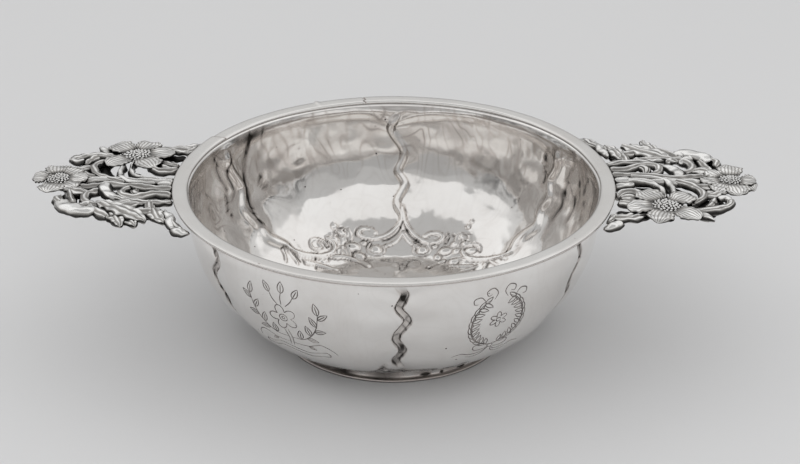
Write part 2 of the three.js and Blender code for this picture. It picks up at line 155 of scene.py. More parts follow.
def wound_ring(grid, dark):
    """A closed ring over a grid (columns round, outline points, 3) that wraps both ways."""
    columns, outline = grid.shape[:2]
    i = np.arange(columns)[:, None]
    j = np.arange(outline)[None, :]
    i2 = (i + 1) % columns
    j2 = (j + 1) % outline
    quads = np.stack([i * outline + j, i2 * outline + j, i2 * outline + j2, i * outline + j2], -1)
    no_triangles = np.zeros((0, 3), int)
    return *facing_out(grid.reshape(-1, 3), quads.reshape(-1, 4), no_triangles), dark.ravel()


def facing_out(points, quads, triangles):
    """The same body with its faces turned outwards: the volume under them comes out positive."""
    corners = np.vstack([quads[:, [0, 1, 2]], quads[:, [0, 2, 3]], triangles])
    a, b, c = points[corners[:, 0]], points[corners[:, 1]], points[corners[:, 2]]
    if np.einsum("ij,ij->i", a, np.cross(b, c)).sum() < 0:
        quads, triangles = quads[:, ::-1], triangles[:, ::-1]
    return points, quads, triangles


def joined(bodies):
    """Several bodies as one set of arrays."""
    offset = np.cumsum([0] + [len(body[0]) for body in bodies])
    return (
        np.vstack([body[0] for body in bodies]),
        np.vstack([body[1] + o for body, o in zip(bodies, offset)]),
        np.vstack([body[2] + o for body, o in zip(bodies, offset)]),
        np.concatenate([body[3] for body in bodies]),
    )


def turned(body, angle, move=(0.0, 0.0, 0.0)):
    """A body turned about Z, then moved."""
    points, quads, triangles, dark = body
    x, y, z = points.T
    cos, sin = math.cos(angle), math.sin(angle)
    return np.stack([x * cos - y * sin, x * sin + y * cos, z], -1) + move, quads, triangles, dark


def put_mesh(name, body, material, nodes=()):
    """A piece in the scene from arrays in millimetres. It rides on the root and may stand for CAD nodes."""
    points, quads, triangles, dark = body
    mesh = bpy.data.meshes.new(name)
    corners = np.concatenate([quads.ravel(), triangles.ravel()]).astype(np.int32)
    starts = np.concatenate([np.arange(len(quads)) * 4, 4 * len(quads) + np.arange(len(triangles)) * 3])
    mesh.vertices.add(len(points))
    mesh.vertices.foreach_set("co", (points * MM).astype(np.float32).ravel())
    mesh.loops.add(len(corners))
    mesh.loops.foreach_set("vertex_index", corners)
    mesh.polygons.add(len(starts))
    mesh.polygons.foreach_set("loop_start", starts.astype(np.int32))
    mesh.polygons.foreach_set("use_smooth", np.ones(len(starts), bool))
    mesh.update(calc_edges=True)
    mesh.validate()
    layer = mesh.attributes.new("tarnish_and_shade", "FLOAT", "POINT")
    layer.data.foreach_set("value", dark.astype(np.float32))
    mesh.materials.append(material)
    piece = bpy.data.objects.new(name, mesh)
    bpy.context.scene.collection.objects.link(piece)
    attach(piece, "root")
    if nodes:
        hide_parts(*nodes)


# Materials


# A group input's kind, by how many numbers its default has
SOCKET_KINDS = {1: "NodeSocketFloat", 3: "NodeSocketVector", 4: "NodeSocketColor"}


def new_group(name, inputs, outputs):
    """An empty node group: its inputs' names with their defaults, and its outputs' names with their kinds."""
    group = bpy.data.node_groups.new(name, "ShaderNodeTree")
    for label, default in inputs.items():
        kind = SOCKET_KINDS[np.size(default)]
        group.interface.new_socket(label, in_out="INPUT", socket_type=kind).default_value = default
    for label, kind in outputs.items():
        group.interface.new_socket(label, in_out="OUTPUT", socket_type=kind)
    return group, group.nodes.new("NodeGroupInput"), group.nodes.new("NodeGroupOutput")


def feed(tree, socket, value):
    """An input set to a number, or linked to the output that value is."""
    if isinstance(value, (int, float)):
        socket.default_value = value
    else:
        tree.links.new(value, socket)


def math_node(tree, operation, a, b=None, c=None, clamp=False):
    """A Math node with its inputs linked or set, and its output."""
    node = tree.nodes.new("ShaderNodeMath")
    node.operation = operation
    node.use_clamp = clamp
    for socket, value in zip(node.inputs, (a, b, c)):
        if value is not None:
            feed(tree, socket, value)
    return node.outputs[0]


def mix_colour(tree, factor, a, b):
    """A colour Mix node with its inputs linked, and its output."""
    node = tree.nodes.new("ShaderNodeMix")
    node.data_type = "RGBA"
    for number, value in ((0, factor), (6, a), (7, b)):
        tree.links.new(value, node.inputs[number])
    return node.outputs[2]


def noise_node(tree, vector, scale, detail=3.0, roughness=0.55, twist=0.0):
    """A Noise texture on the given coordinates; scale is per metre or linked."""
    node = tree.nodes.new("ShaderNodeTexNoise")
    node.inputs["Distortion"].default_value = twist
    node.inputs["Detail"].default_value = detail
    node.inputs["Roughness"].default_value = roughness
    feed(tree, node.inputs["Scale"], scale)
    tree.links.new(vector, node.inputs["Vector"])
    return node.outputs["Fac"]


# The share of full darkening, tarnish and painted shade together, at which the film is brown and about to
# turn black
FILM_SHARE = 0.35
# The cloud's noise is taken times the first and plus the second, so its thin parts are clean silver
CLOUD_CONTRAST = (2.6, -0.85)
# Marbled stains: how fast the bands follow each other, how thin their lines are, what the broad bands add,
# how they are drawn out upright, and how they come with the film: its factor, and their share without film
STAIN_BANDS = 60.0
STAIN_LINE_POWER = 9.0
STAIN_BAND_SHARE = 0.3
STAIN_STRETCH = (1.0, 1.0, 0.5)
STAIN_REACH = (6.0, 0.1)
# Specks: the spread and the start of their radius in cells, below zero for a cell without one, and their edge
SPECK_SIZES = (0.3, -0.18)
SPECK_EDGE = 40.0
# Fine scratches: the noise is drawn out along one slanting direction
SCRATCH_STRETCH = (1.0, 0.12, 0.5)
SCRATCH_TURN = (0.3, 0.2, 0.7)
# How sharply occlusion gathers in the narrow gaps
OCCLUSION_POWER = 1.6


def marbled_stains(group, ports):
    """How strong the stains are: the sine of a twisted noise's level, and the same raised to a power as thin
    lines. They show where there is film."""
    drawn_out = group.nodes.new("ShaderNodeVectorMath")
    drawn_out.operation = "MULTIPLY"
    drawn_out.inputs[1].default_value = STAIN_STRETCH
    group.links.new(ports["Vector"], drawn_out.inputs[0])
    level = noise_node(
        group, drawn_out.outputs[0], ports["Stain Scale"], detail=2.0, roughness=0.5, twist=1.4
    )
    wave = math_node(group, "SINE", math_node(group, "MULTIPLY", level, STAIN_BANDS))
    bands = math_node(group, "MULTIPLY_ADD", wave, 0.5, 0.5)
    lines = math_node(group, "POWER", bands, STAIN_LINE_POWER)
    stain = math_node(group, "MULTIPLY_ADD", bands, STAIN_BAND_SHARE, lines)
    reach = math_node(group, "MULTIPLY_ADD", ports["Tarnish And Shade"], *STAIN_REACH, clamp=True)
    return math_node(group, "MULTIPLY", stain, math_node(group, "MULTIPLY", reach, ports["Stain Amount"]))


def small_specks(group, ports):
    """A mask of round specks: one in the middle of some cells, each with its own radius."""
    cells = group.nodes.new("ShaderNodeTexVoronoi")
    group.links.new(ports["Vector"], cells.inputs["Vector"])
    group.links.new(ports["Speck Scale"], cells.inputs["Scale"])
    chance = group.nodes.new("ShaderNodeSeparateColor")
    group.links.new(cells.outputs["Color"], chance.inputs[0])
    size = math_node(group, "MULTIPLY_ADD", chance.outputs[0], *SPECK_SIZES)
    inside = math_node(group, "SUBTRACT", size, cells.outputs["Distance"])
    return math_node(group, "MULTIPLY", inside, SPECK_EDGE, clamp=True)


def tarnish_and_shade_group():
    """Silver under a film that thickens from nothing through brown to black. Its thickness is the sum of the
    mask of tarnish and painted shade, a soft cloud of noise, marbled stains and a few small specks."""
    group, given, out = new_group(
        "silver_tarnish_and_shade",
        {
            "Vector": (0, 0, 0),
            "Tarnish And Shade": 0.0,
            "Bright": (0.9, 0.885, 0.865, 1),
            "Film": (0.6, 0.55, 0.52, 1),
            "Dark": (0.03, 0.027, 0.024, 1),
            "Film Amount": 0.1,
            "Cloud Scale": 60.0,
            "Stain Amount": 0.0,
            "Stain Scale": 30.0,
            "Speck Amount": 0.0,
            "Speck Scale": 260.0,
            "Smooth": 0.12,
            "Dull": 0.45,
        },
        {"Color": "NodeSocketColor", "Roughness": "NodeSocketFloat"},
    )
    ports = given.outputs
    cloud = noise_node(group, ports["Vector"], ports["Cloud Scale"], detail=4.0)
    darkened = math_node(group, "MULTIPLY_ADD", cloud, *CLOUD_CONTRAST, clamp=True)
    darkened = math_node(group, "MULTIPLY_ADD", darkened, ports["Film Amount"], ports["Tarnish And Shade"])
    darkened = math_node(group, "ADD", marbled_stains(group, ports), darkened)
    specks = small_specks(group, ports)
    darkened = math_node(group, "MULTIPLY_ADD", specks, ports["Speck Amount"], darkened, clamp=True)
    thin = math_node(group, "MULTIPLY", darkened, 1 / FILM_SHARE, clamp=True)
    beyond = 1 - FILM_SHARE
    thick = math_node(group, "MULTIPLY_ADD", darkened, 1 / beyond, -FILM_SHARE / beyond, clamp=True)
    filmed = mix_colour(group, thin, ports["Bright"], ports["Film"])
    group.links.new(mix_colour(group, thick, filmed, ports["Dark"]), out.inputs["Color"])
    span = math_node(group, "SUBTRACT", ports["Dull"], ports["Smooth"])
    group.links.new(math_node(group, "MULTIPLY_ADD", span, darkened, ports["Smooth"]), out.inputs["Roughness"])
    return group


def marks_group():
    """The height of handled silver: soft planishing dents and fine scratches, for a Bump node."""
    group, given, out = new_group(
        "silver_marks",
        {"Vector": (0, 0, 0), "Dent Scale": 180.0, "Dents": 1.0, "Scratch Scale": 900.0, "Scratches": 0.2},
        {"Height": "NodeSocketFloat"},
    )
    ports = given.outputs
    dents = noise_node(group, ports["Vector"], ports["Dent Scale"], detail=1.0)
    stretch = group.nodes.new("ShaderNodeMapping")
    stretch.inputs["Scale"].default_value = SCRATCH_STRETCH
    stretch.inputs["Rotation"].default_value = SCRATCH_TURN
    group.links.new(ports["Vector"], stretch.inputs["Vector"])
    scratches = noise_node(group, stretch.outputs[0], ports["Scratch Scale"], detail=2.0)
    first = math_node(group, "MULTIPLY", dents, ports["Dents"])
    total = math_node(group, "MULTIPLY_ADD", scratches, ports["Scratches"], first)
    group.links.new(total, out.inputs["Height"])
    return group


TARNISH_AND_SHADE = tarnish_and_shade_group()
MARKS = marks_group()


def tarnish_and_shade_mask(tree, occlusion, gain, attribute):
    """Tarnish and painted shade in the hollows: by ambient occlusion, by the piece's tarnish_and_shade
    attribute, by both, or None. Where the attribute is below zero it takes that share off the occlusion:
    painted light on spots that stand in a hollow."""
    tarnish_and_shade = None
    if occlusion:
        shade = tree.nodes.new("ShaderNodeAmbientOcclusion")
        shade.samples = 8
        shade.inputs["Distance"].default_value = occlusion
        closed = math_node(tree, "SUBTRACT", 1.0, shade.outputs["AO"])
        tarnish_and_shade = math_node(tree, "POWER", closed, OCCLUSION_POWER)
        tarnish_and_shade = math_node(tree, "MULTIPLY", tarnish_and_shade, gain, clamp=True)
    if attribute:
        layer = tree.nodes.new("ShaderNodeAttribute")
        layer.attribute_name = "tarnish_and_shade"
        own = layer.outputs["Fac"]
        if tarnish_and_shade is not None:
            open_share = math_node(tree, "ADD", own, 1.0, clamp=True)
            own = math_node(tree, "MAXIMUM", math_node(tree, "MULTIPLY", tarnish_and_shade, open_share), own)
        tarnish_and_shade = own
    return tarnish_and_shade


def silver(name, tarnish, marks, bump, occlusion=0.0, occlusion_gain=1.0, attribute=False):
    """A silver finish: the tarnish-and-shade and marks groups with this finish's own values, read on Object
    coordinates, and with its mask of tarnish and painted shade."""
    material = bpy.data.materials.new(name)
    material.use_nodes = True
    tree = material.node_tree
    shader = tree.nodes["Principled BSDF"]
    shader.inputs["Metallic"].default_value = 1.0
    place = tree.nodes.new("ShaderNodeTexCoord").outputs["Object"]
    darkening = tree.nodes.new("ShaderNodeGroup")
    darkening.node_tree = TARNISH_AND_SHADE
    marked = tree.nodes.new("ShaderNodeGroup")
    marked.node_tree = MARKS
    for node, values in ((darkening, tarnish), (marked, marks)):
        tree.links.new(place, node.inputs["Vector"])
        for label, value in values.items():
            node.inputs[label].default_value = value
    tarnish_and_shade = tarnish_and_shade_mask(tree, occlusion, occlusion_gain, attribute)
    if tarnish_and_shade is not None:
        tree.links.new(tarnish_and_shade, darkening.inputs["Tarnish And Shade"])
    tree.links.new(darkening.outputs["Color"], shader.inputs["Base Color"])
    tree.links.new(darkening.outputs["Roughness"], shader.inputs["Roughness"])
    relief = tree.nodes.new("ShaderNodeBump")
    relief.inputs["Strength"].default_value = 1.0
    relief.inputs["Distance"].default_value = bump
    tree.links.new(marked.outputs["Height"], relief.inputs["Height"])
    tree.links.new(relief.outputs["Normal"], shader.inputs["Normal"])
    return material


BOWL_SILVER = silver(
    "silver_raised_sheet",
    {"Film": (0.68, 0.64, 0.61, 1), "Film Amount": 0.12, "Cloud Scale": 75.0, "Stain Amount": 0.27,
     "Stain Scale": 42.0, "Speck Amount": 0.85, "Speck Scale": 320.0, "Smooth": 0.08, "Dull": 0.38},
    {"Dent Scale": 220.0, "Dents": 1.0, "Scratch Scale": 700.0, "Scratches": 0.12},
    bump=0.00007, attribute=True,
)
# The rim's occlusion darkens the gaps by the rim band and the foot: tarnish and painted shade
RIM_SILVER = silver(
    "silver_flat_rim",
    {"Bright": (0.82, 0.81, 0.79, 1), "Film Amount": 0.1, "Cloud Scale": 60.0, "Stain Amount": 0.04,
     "Stain Scale": 90.0, "Speck Amount": 0.5, "Smooth": 0.2, "Dull": 0.5},
    {"Dent Scale": 200.0, "Dents": 0.6, "Scratch Scale": 900.0, "Scratches": 0.15},
    bump=0.00005, occlusion=0.0012, occlusion_gain=1.2, attribute=True,
)
# The casting's strong occlusion darkens the gaps between its pieces nearly to black: tarnish and painted
# shade
CAST_SILVER = silver(
    "silver_casting",
    {"Bright": (0.96, 0.955, 0.94, 1), "Film": (0.42, 0.405, 0.385, 1), "Dark": (0.017, 0.016, 0.015, 1),
     "Film Amount": 0.1, "Cloud Scale": 140.0, "Stain Amount": 0.04, "Stain Scale": 300.0,
     "Smooth": 0.12, "Dull": 0.5},
    {"Dent Scale": 500.0, "Dents": 0.6, "Scratch Scale": 1500.0, "Scratches": 0.2},
    bump=0.0001, occlusion=0.0034, occlusion_gain=2.7, attribute=True,
)
CUT_LINES = silver(
    "silver_cut_lines",
    {"Bright": (0.11, 0.1, 0.095, 1), "Film Amount": 0.2, "Cloud Scale": 200.0, "Smooth": 0.4,
     "Dull": 0.6},
    {"Dent Scale": 600.0, "Dents": 0.3, "Scratch Scale": 1500.0, "Scratches": 0.2},
    bump=0.00004,
)


# The raised bowl


def wall_table():
    """The sheet's outer side as rows of way, radius and height. Down the wall the radius falls as a power
    of a cosine and the height as a power of a sine; inside the foot's seat the floor is a shallow dome."""
    radius_power, height_power = 1.45, 0.78
    angle = np.linspace(0, math.pi / 2, 1800)
    top = LIP_TOP - WALL
    radius = SEAT + (MOUTH - SEAT) * np.cos(angle) ** radius_power
    height = top - (top - FOOT_HEIGHT) * np.sin(angle) ** height_power
    inner = np.linspace(SEAT, 0, 300)[1:]
    radius = np.r_[radius, inner]
    height = np.r_[height, FOOT_HEIGHT + FLOOR_RISE * (1 - (inner / SEAT) ** 2)]
    way = np.r_[0, np.cumsum(np.hypot(np.diff(radius), np.diff(height)))]
    return way, radius, height


WAY, WALL_RADIUS, WALL_HEIGHT = wall_table()
SEAT_WAY = float(np.interp(-SEAT, -WALL_RADIUS, WAY))
CENTRE_WAY = float(WAY[-1])
SLOPE_RADIUS = np.gradient(WALL_RADIUS, WAY)
SLOPE_HEIGHT = np.gradient(WALL_HEIGHT, WAY)

# Each rib's angle and its wavy course: way down the wall, and how far it wanders anticlockwise,
# both in millimetres, the wander at a radius of 62.
TRACE_RADIUS = 62.0
RIBS = [
    (90, [(0, -2), (2, -1.5), (5, 0), (7.5, 1.5), (10, 0.5), (13, -1.5), (15, -3), (18, -3.5), (21, -2.5),
          (24, -1), (26, -2.5), (28, -4.2), (30, -3.8), (33, -2), (35.5, -0.8), (38, -1.5), (40, -3.5),
          (46, -4)]),
    (150, [(0, 0), (5, 1), (10, -0.5), (15, -3), (18, -4), (22, -2), (25, -1), (30, -3), (33, -5), (37, -5),
           (40, -7), (43, -10), (46, -12)]),
    (210, [(0, 1), (3, 2), (5, 3), (7, 5), (9, 5.3), (11.5, 3), (14, 0.5), (17, 0.5), (20, 2), (22, 4),
           (25, 2.5), (28, 1), (31, 2), (34, 4), (37, 3), (40, 4), (46, 9)]),
    (270, [(0, -0.5), (1.5, 0.8), (3, 3), (5, 3.5), (8, 2), (9.5, 1.2), (11.5, 2.5), (13.5, 4.3), (16, 3.5),
           (18.5, 1.8), (21, 0.8), (23.5, 1), (25.5, 2.3), (28, 3), (30, 2.6), (32, 1.3), (35, 0.7),
           (37.5, 1.4), (40, 2.4), (46, 4)]),
    (330, [(0, 0), (4, 1), (7, 1.5), (10, 3), (13, 2), (15, -0.5), (18, -0.5), (21, 0), (24, 2.5), (27, 1.5),
           (30, 0), (33, 1), (36, 3), (39, 2), (42, 3), (46, 8)]),
    (30, [(0, 1), (3, 1), (5, 0.5), (8, 0.5), (10, 1), (12, 2), (14, 3), (16, 2.5), (18, 1), (20, 0.7),
          (22, 1), (24, 2), (26, 2.5), (28, 2), (30, 1), (33, 1.5), (35, 3), (37, 4.5), (40, 5.5), (42, 5),
          (44, 4.5), (46, 6)]),
]


def rounded_course(points):
    """A rib's course with its corners rounded: each point's wander is the mean of its neighbours', weighed
    by a bell over their way down."""
    course = smooth_path(points, 240)
    weight = bell(course[:, None, 0] - course[None, :, 0], 1.3)
    return np.stack([course[:, 0], weight @ course[:, 1] / weight.sum(1)], -1)


RIB_COURSES = [(math.radians(angle), rounded_course(course)) for angle, course in RIBS]


def rib_angle(number, way):
    """Where rib number runs at a way down the wall, as an angle about Z."""
    base, course = RIB_COURSES[number % LOBES]
    return base + np.interp(way, course[:, 0], course[:, 1]) / TRACE_RADIUS


def rib_distance(theta, way, radius):
    """Each point's signed distance to the nearest rib's course, laid flat: close by it is the true distance
    to the nearest of the course's points, farther off the distance along the ring."""
    sure, reach = 4, 9
    nearest = np.full(theta.shape, FAR)
    for number, (base, course) in enumerate(RIB_COURSES):
        gap = turn_from(theta, rib_angle(number, way)) * radius
        close = np.abs(gap) < reach
        if close.any():
            turn = turn_from(theta[close], base)
            across = turn[:, None] * radius[close, None] - course[:, 1] * radius[close, None] / TRACE_RADIUS
            true = np.sqrt((across**2 + (way[close, None] - course[:, 0]) ** 2).min(1))
            share = smooth_step(np.abs(gap[close]), sure, reach)
            gap[close] = np.sign(gap[close]) * ((1 - share) * true + share * np.abs(gap[close]))
        nearest = np.where(np.abs(gap) < np.abs(nearest), gap, nearest)
    return nearest


# The embossed border, drawn flat. Its plan unrolls the sheet about the back rib: a point lies at the
# radius of the foot's seat plus its way up from the seat, so lengths keep their size. X is to the right.
# Raised lines are (points, half width, height), pearls (x, y, half length, half width, turn, height).
RAISED_LINES = [
    ([(3.2, 58), (2.9, 54.5), (1.6, 51.5), (-0.8, 48.6), (-4, 46.6), (-8, 45.6), (-11.2, 45.9), (-13, 47.2),
      (-12.6, 48.6), (-10.8, 49.3), (-8.4, 49), (-6.9, 47.8)], 0.95, 0.6),
    ([(3.2, 58), (3.6, 54.5), (4.6, 51), (6.6, 47.8), (9, 45.3), (12, 43.6), (15, 43.1), (17.2, 44),
      (17.3, 45.6), (15.6, 46.8), (13, 46.9), (11, 46)], 0.95, 0.6),
    ([(2.9, 47.6), (1.2, 45.2), (-0.8, 43.6), (-3.4, 42.4)], 0.75, 0.45),
    ([(3.2, 47.6), (5, 44.8), (7, 42.8), (8.8, 41.6)], 0.75, 0.45),
    ([(-3.9, 42.4), (-3.5, 40.6), (-4.6, 38.8), (-6.8, 38.1), (-8.9, 39.2), (-9.5, 41.2), (-8.8, 43.2)],
     0.5, 0.42),
    ([(7.2, 42), (6.9, 39.9), (8.2, 38), (10.4, 37.6), (12.2, 38.8), (12.8, 40.8), (12.2, 42.8)], 0.5, 0.42),
    ([(-16.9, 48), (-16, 46.6), (-15.6, 44.9)], 0.45, 0.35),
    ([(19.2, 45.8), (19.5, 44), (18.4, 42.2)], 0.45, 0.35),
    ([(-22, 45.4), (-21, 47.2), (-19, 47.9), (-17.2, 47.1), (-17, 45.6)], 0.42, 0.4),
    ([(-24, 42.6), (-23, 44.6), (-20.6, 45)], 0.42, 0.4),
    ([(22.1, 42.6), (23.1, 44.4), (25.4, 44.5), (27.4, 43), (27.4, 41.2)], 0.42, 0.4),
    ([(23.2, 40), (24, 41.6), (26.4, 41.6), (27.7, 40)], 0.42, 0.35),
    ([(-24, 39.4), (-25.4, 41.1), (-28.2, 41.3), (-30.3, 39.6), (-29.8, 37.5), (-27.8, 36.9), (-26.2, 38.2),
      (-27.2, 39.4)], 0.6, 0.5),
    ([(24.2, 35), (24.1, 37.6), (25.9, 39.3), (28.6, 39.1), (30.6, 37.3), (30.6, 35.2)], 0.5, 0.42),
    ([(-57, 36.4), (-54.5, 36.2), (-51.5, 35.2), (-48.2, 33.4), (-44.7, 33), (-40.8, 33.4), (-36.1, 32.6),
      (-33, 32.9), (-29.6, 33.6), (-25.6, 34.7), (-22.6, 36.7), (-21.3, 39.2), (-22, 41.4), (-24.2, 42.9)],
     1.0, 0.65),
    ([(58, 37.4), (56.4, 34.6), (52.6, 32.9), (48.8, 32.9), (46, 31.6), (44.6, 29.6), (42.5, 28.6),
      (39.5, 28.9), (36, 29.7), (32, 31), (28, 32.5), (25.2, 34.5), (24.2, 37)], 1.0, 0.65),
    ([(-34, 31.4), (-29, 32.8), (-24, 34.3), (-20.8, 34.9)], 0.55, 0.4),
    ([(-31, 30.4), (-27, 31.5), (-23.4, 32.8)], 0.55, 0.4),
    ([(-31, 29.6), (-27, 30), (-23, 29.3), (-19.8, 27.9)], 1.1, 0.45),
    ([(-38, 31.2), (-35.4, 29.6), (-34, 28)], 0.6, 0.35),
    ([(-40.5, 31), (-39, 29), (-38.4, 27)], 0.6, 0.35),
    ([(-21.3, 38.2), (-20.4, 39.9), (-18.4, 40.5), (-16.4, 39.8), (-15.5, 37.8), (-15.8, 36)], 0.42, 0.42),
    ([(-20.2, 37.8), (-19.6, 39), (-18.3, 39.3), (-17.1, 38.6), (-16.8, 37.2)], 0.42, 0.42),
    ([(-20.6, 35.4), (-17, 35.9), (-13.6, 34.9), (-10.8, 32.7), (-8.6, 29.6)], 1.3, 0.55),
    ([(17.4, 34), (15.2, 33), (13.4, 31.2), (11.6, 28.4)], 0.8, 0.55),
    ([(21.6, 34.4), (25, 32.8), (29, 31.1), (33.5, 29.8)], 0.55, 0.4),
    ([(19, 30.8), (22.5, 30.1), (27, 29.3)], 0.8, 0.42),
    ([(23, 27.2), (25.4, 27.8), (28.4, 28.6)], 0.7, 0.35),
    ([(35.8, 26.4), (34.6, 27.8), (33.6, 29.2)], 0.6, 0.35),
    ([(31, 26), (31.6, 27.6), (31.4, 29)], 0.6, 0.35),
    ([(40, 27), (38.4, 28), (37.4, 29)], 0.6, 0.35),
]
PEARLS = [
    (-9.4, 47.3, 2.7, 1.5, -5, 0.5), (13.5, 45, 2.6, 1.3, -12, 0.5),
    (-6.5, 40.9, 2.2, 2.2, 0, 0.7), (9.9, 40.2, 2.2, 2.1, 0, 0.7),
    (-22.2, 48.4, 1.5, 1.5, 0, 0.55), (27.4, 46.8, 1.0, 1.0, 0, 0.4), (28.9, 48.3, 0.8, 0.8, 0, 0.35),
    (-19.2, 46.3, 2.0, 1.2, -15, 0.55), (-21.6, 43.3, 1.9, 1.3, -10, 0.55),
    (24.9, 43, 1.9, 1.1, -25, 0.55), (25.4, 40.1, 1.7, 1.2, 0, 0.5),
    (-14.8, 41.2, 3.0, 2.3, 0, 0.85), (-11, 43.3, 1.3, 1.1, 0, 0.5), (-12.3, 37.4, 2.5, 1.9, -25, 0.75),
    (-15.9, 44.2, 1.0, 0.8, 0, 0.4), (18, 38.8, 2.7, 2.0, 0, 0.85), (14.4, 41.3, 1.3, 1.0, 0, 0.5),
    (15.2, 36.2, 1.5, 1.7, 0, 0.65), (21.7, 41.2, 1.6, 1.2, 0, 0.55), (21.9, 37.9, 1.6, 1.4, 0, 0.6),
    (20.7, 33.1, 2.0, 1.7, 0, 0.65), (27.2, 36.7, 2.5, 1.6, -10, 0.65), (-18.4, 37.6, 0.9, 0.8, 0, 0.4),
]
CUT_GROOVES = [
    ([(3.1, 52), (1.6, 48.6), (-0.8, 46.3), (-4.2, 44.7)], 0.4, 0.4),
    ([(3.3, 52), (5, 47.8), (7.4, 44.8), (9.8, 42.9)], 0.4, 0.4),
    ([(-13.9, 48.6), (-14.2, 47), (-13.6, 45.9)], 0.4, 0.3),
    ([(21.2, 45.2), (21.9, 43.7), (21.3, 42.3)], 0.4, 0.3),
    ([(-37, 32.2), (-34.8, 30.7), (-33, 29.2)], 0.45, 0.4),
    ([(-28.3, 31.2), (-27.4, 29.6), (-27, 28)], 0.45, 0.4),
    ([(-32.4, 30.4), (-31.2, 28.8)], 0.45, 0.35),
    ([(28.6, 29.4), (27.4, 27.2)], 0.5, 0.4),
    ([(33, 28.8), (31.8, 26.4)], 0.45, 0.4),
    ([(35.4, 29.5), (38.4, 29.2)], 0.45, 0.4),
]
BORDER_INNER = 25.0
BORDER_OUTER = 60.0
# The way down the wall below which the border can be
BORDER_TOP = 30


def mirrored_in_lobe(points):
    """Border points seen in the rib that stands sixty degrees from the back one, so that the same
    drawing goes on in the side lobe: the angle from the back rib becomes 120 degrees less itself."""
    p = np.asarray(points, float)
    radius = np.hypot(p[:, 0], p[:, 1])
    angle = np.sign(p[:, 0]) * (2 * LOBE_ANGLE - np.abs(np.arctan2(p[:, 0], p[:, 1])))
    return np.stack([radius * np.sin(angle), radius * np.cos(angle)], -1)


def border_drawing():
    """All lines, pearls and grooves of half the border: the drawing above, and in the side lobes its
    parts that lie more than the limit's angle from the back rib, mirrored in the nearer rib."""
    lines = [(smooth_path(points, 10 + 3 * len(points)), w, h) for points, w, h in RAISED_LINES]
    pearls = list(PEARLS)
    grooves = [(smooth_path(points, 12), w, d) for points, w, d in CUT_GROOVES]
    limit, last = math.radians(27), math.radians(50)
    for source in (lines, grooves):
        for points, w, h in list(source):
            angle = np.abs(np.arctan2(points[:, 0], points[:, 1]))
            keep = (angle > limit) & (angle < last)
            if keep.sum() > 3:
                source.append((mirrored_in_lobe(points[keep]), w, h))
    for x, y, a, b, turn, h in PEARLS:
        if abs(math.atan2(x, y)) > limit:
            (mx, my), = mirrored_in_lobe([(x, y)])
            pearls.append((mx, my, a, b, 90 - turn, h))
    return lines, pearls, grooves


def distance_to_line(x, y, points):
    """The least distance from each (x, y) to the chords between the points."""
    best = np.full(x.shape, FAR)
    for (ax, ay), (bx, by) in zip(points[:-1], points[1:]):
        dx, dy = bx - ax, by - ay
        along = np.clip(((x - ax) * dx + (y - ay) * dy) / (dx * dx + dy * dy + 1e-9), 0, 1)
        best = np.minimum(best, np.hypot(x - ax - along * dx, y - ay - along * dy))
    return best


BORDER_LINES, BORDER_PEARLS, BORDER_GROOVES = border_drawing()


def border_relief(theta, way, fine):
    """Height of the embossed border and darkness of its outlines and grooves, which is tarnish and painted
    shade. A line is a cushion across its half width, a pearl the cap of an ellipsoid, and each has a narrow
    dark groove round it, cut in where fine. The darkness round them is uneven along the outlines."""
    plan = SEAT + SEAT_WAY - way
    angle = turn_from(math.pi / 2, theta)
    angle = np.where(np.abs(angle) > math.pi / 2, angle - np.sign(angle) * math.pi, angle)
    x, y = plan * np.sin(angle), plan * np.cos(angle)
    raised = np.zeros(x.shape)
    cut = np.zeros(x.shape)
    groove_width = 0.3
    groove_depth = 0.18 if fine else 0.0
    # Lines and pearls stand slimmer than drawn, which leaves room for the groove round them
    slim = 0.72
    pearl_slim = 0.88
    # How strong the outlines' tarnish and painted shade are, uneven round the bowl
    darkening = 0.2 + 0.5 * np.clip(0.4 + waves_round(theta, way, 7, 51), 0, 1)

    def near(points, reach):
        low, high = points.min(0) - reach, points.max(0) + reach
        return (x > low[0]) & (x < high[0]) & (y > low[1]) & (y < high[1])

    for points, width, height in BORDER_LINES:
        spot = near(points, width + 2)
        gap = distance_to_line(x[spot], y[spot], points)
        cushion = height * np.clip(1 - (gap / (width * slim * 1.15)) ** 2, 0, 1) ** 0.75
        raised[spot] = np.maximum(raised[spot], cushion)
        cut[spot] = np.maximum(cut[spot], bell(gap - width * slim * 1.3, groove_width) * darkening[spot])
    for px, py, a, b, turn, height in BORDER_PEARLS:
        spot = near(np.array([[px, py]]), max(a, b) + 2)
        c, s = math.cos(math.radians(turn)), math.sin(math.radians(turn))
        dx, dy = x[spot] - px, y[spot] - py
        out = np.hypot((dx * c + dy * s) / a, (dy * c - dx * s) / b) / pearl_slim
        cap = height * np.clip(1 - out**2, 0, 1) ** 0.6
        raised[spot] = np.maximum(raised[spot], cap)
        cut[spot] = np.maximum(cut[spot], bell((out - 1.14) * min(a, b), groove_width) * darkening[spot])
    for points, width, depth in BORDER_GROOVES:
        spot = near(points, width + 2)
        gap = distance_to_line(x[spot], y[spot], points)
        cut[spot] = np.maximum(cut[spot], bell(gap, width) * depth * 2.2)
    cut = np.clip(cut, 0, 1) * np.clip(1 - raised / 0.45, 0, 1)
    outer_fade = smooth_step(-plan, -BORDER_OUTER - 1, -BORDER_OUTER + 3)
    fade = outer_fade * smooth_step(plan, BORDER_INNER - 3, BORDER_INNER)
    return raised * fade - groove_depth * cut * fade, cut * fade


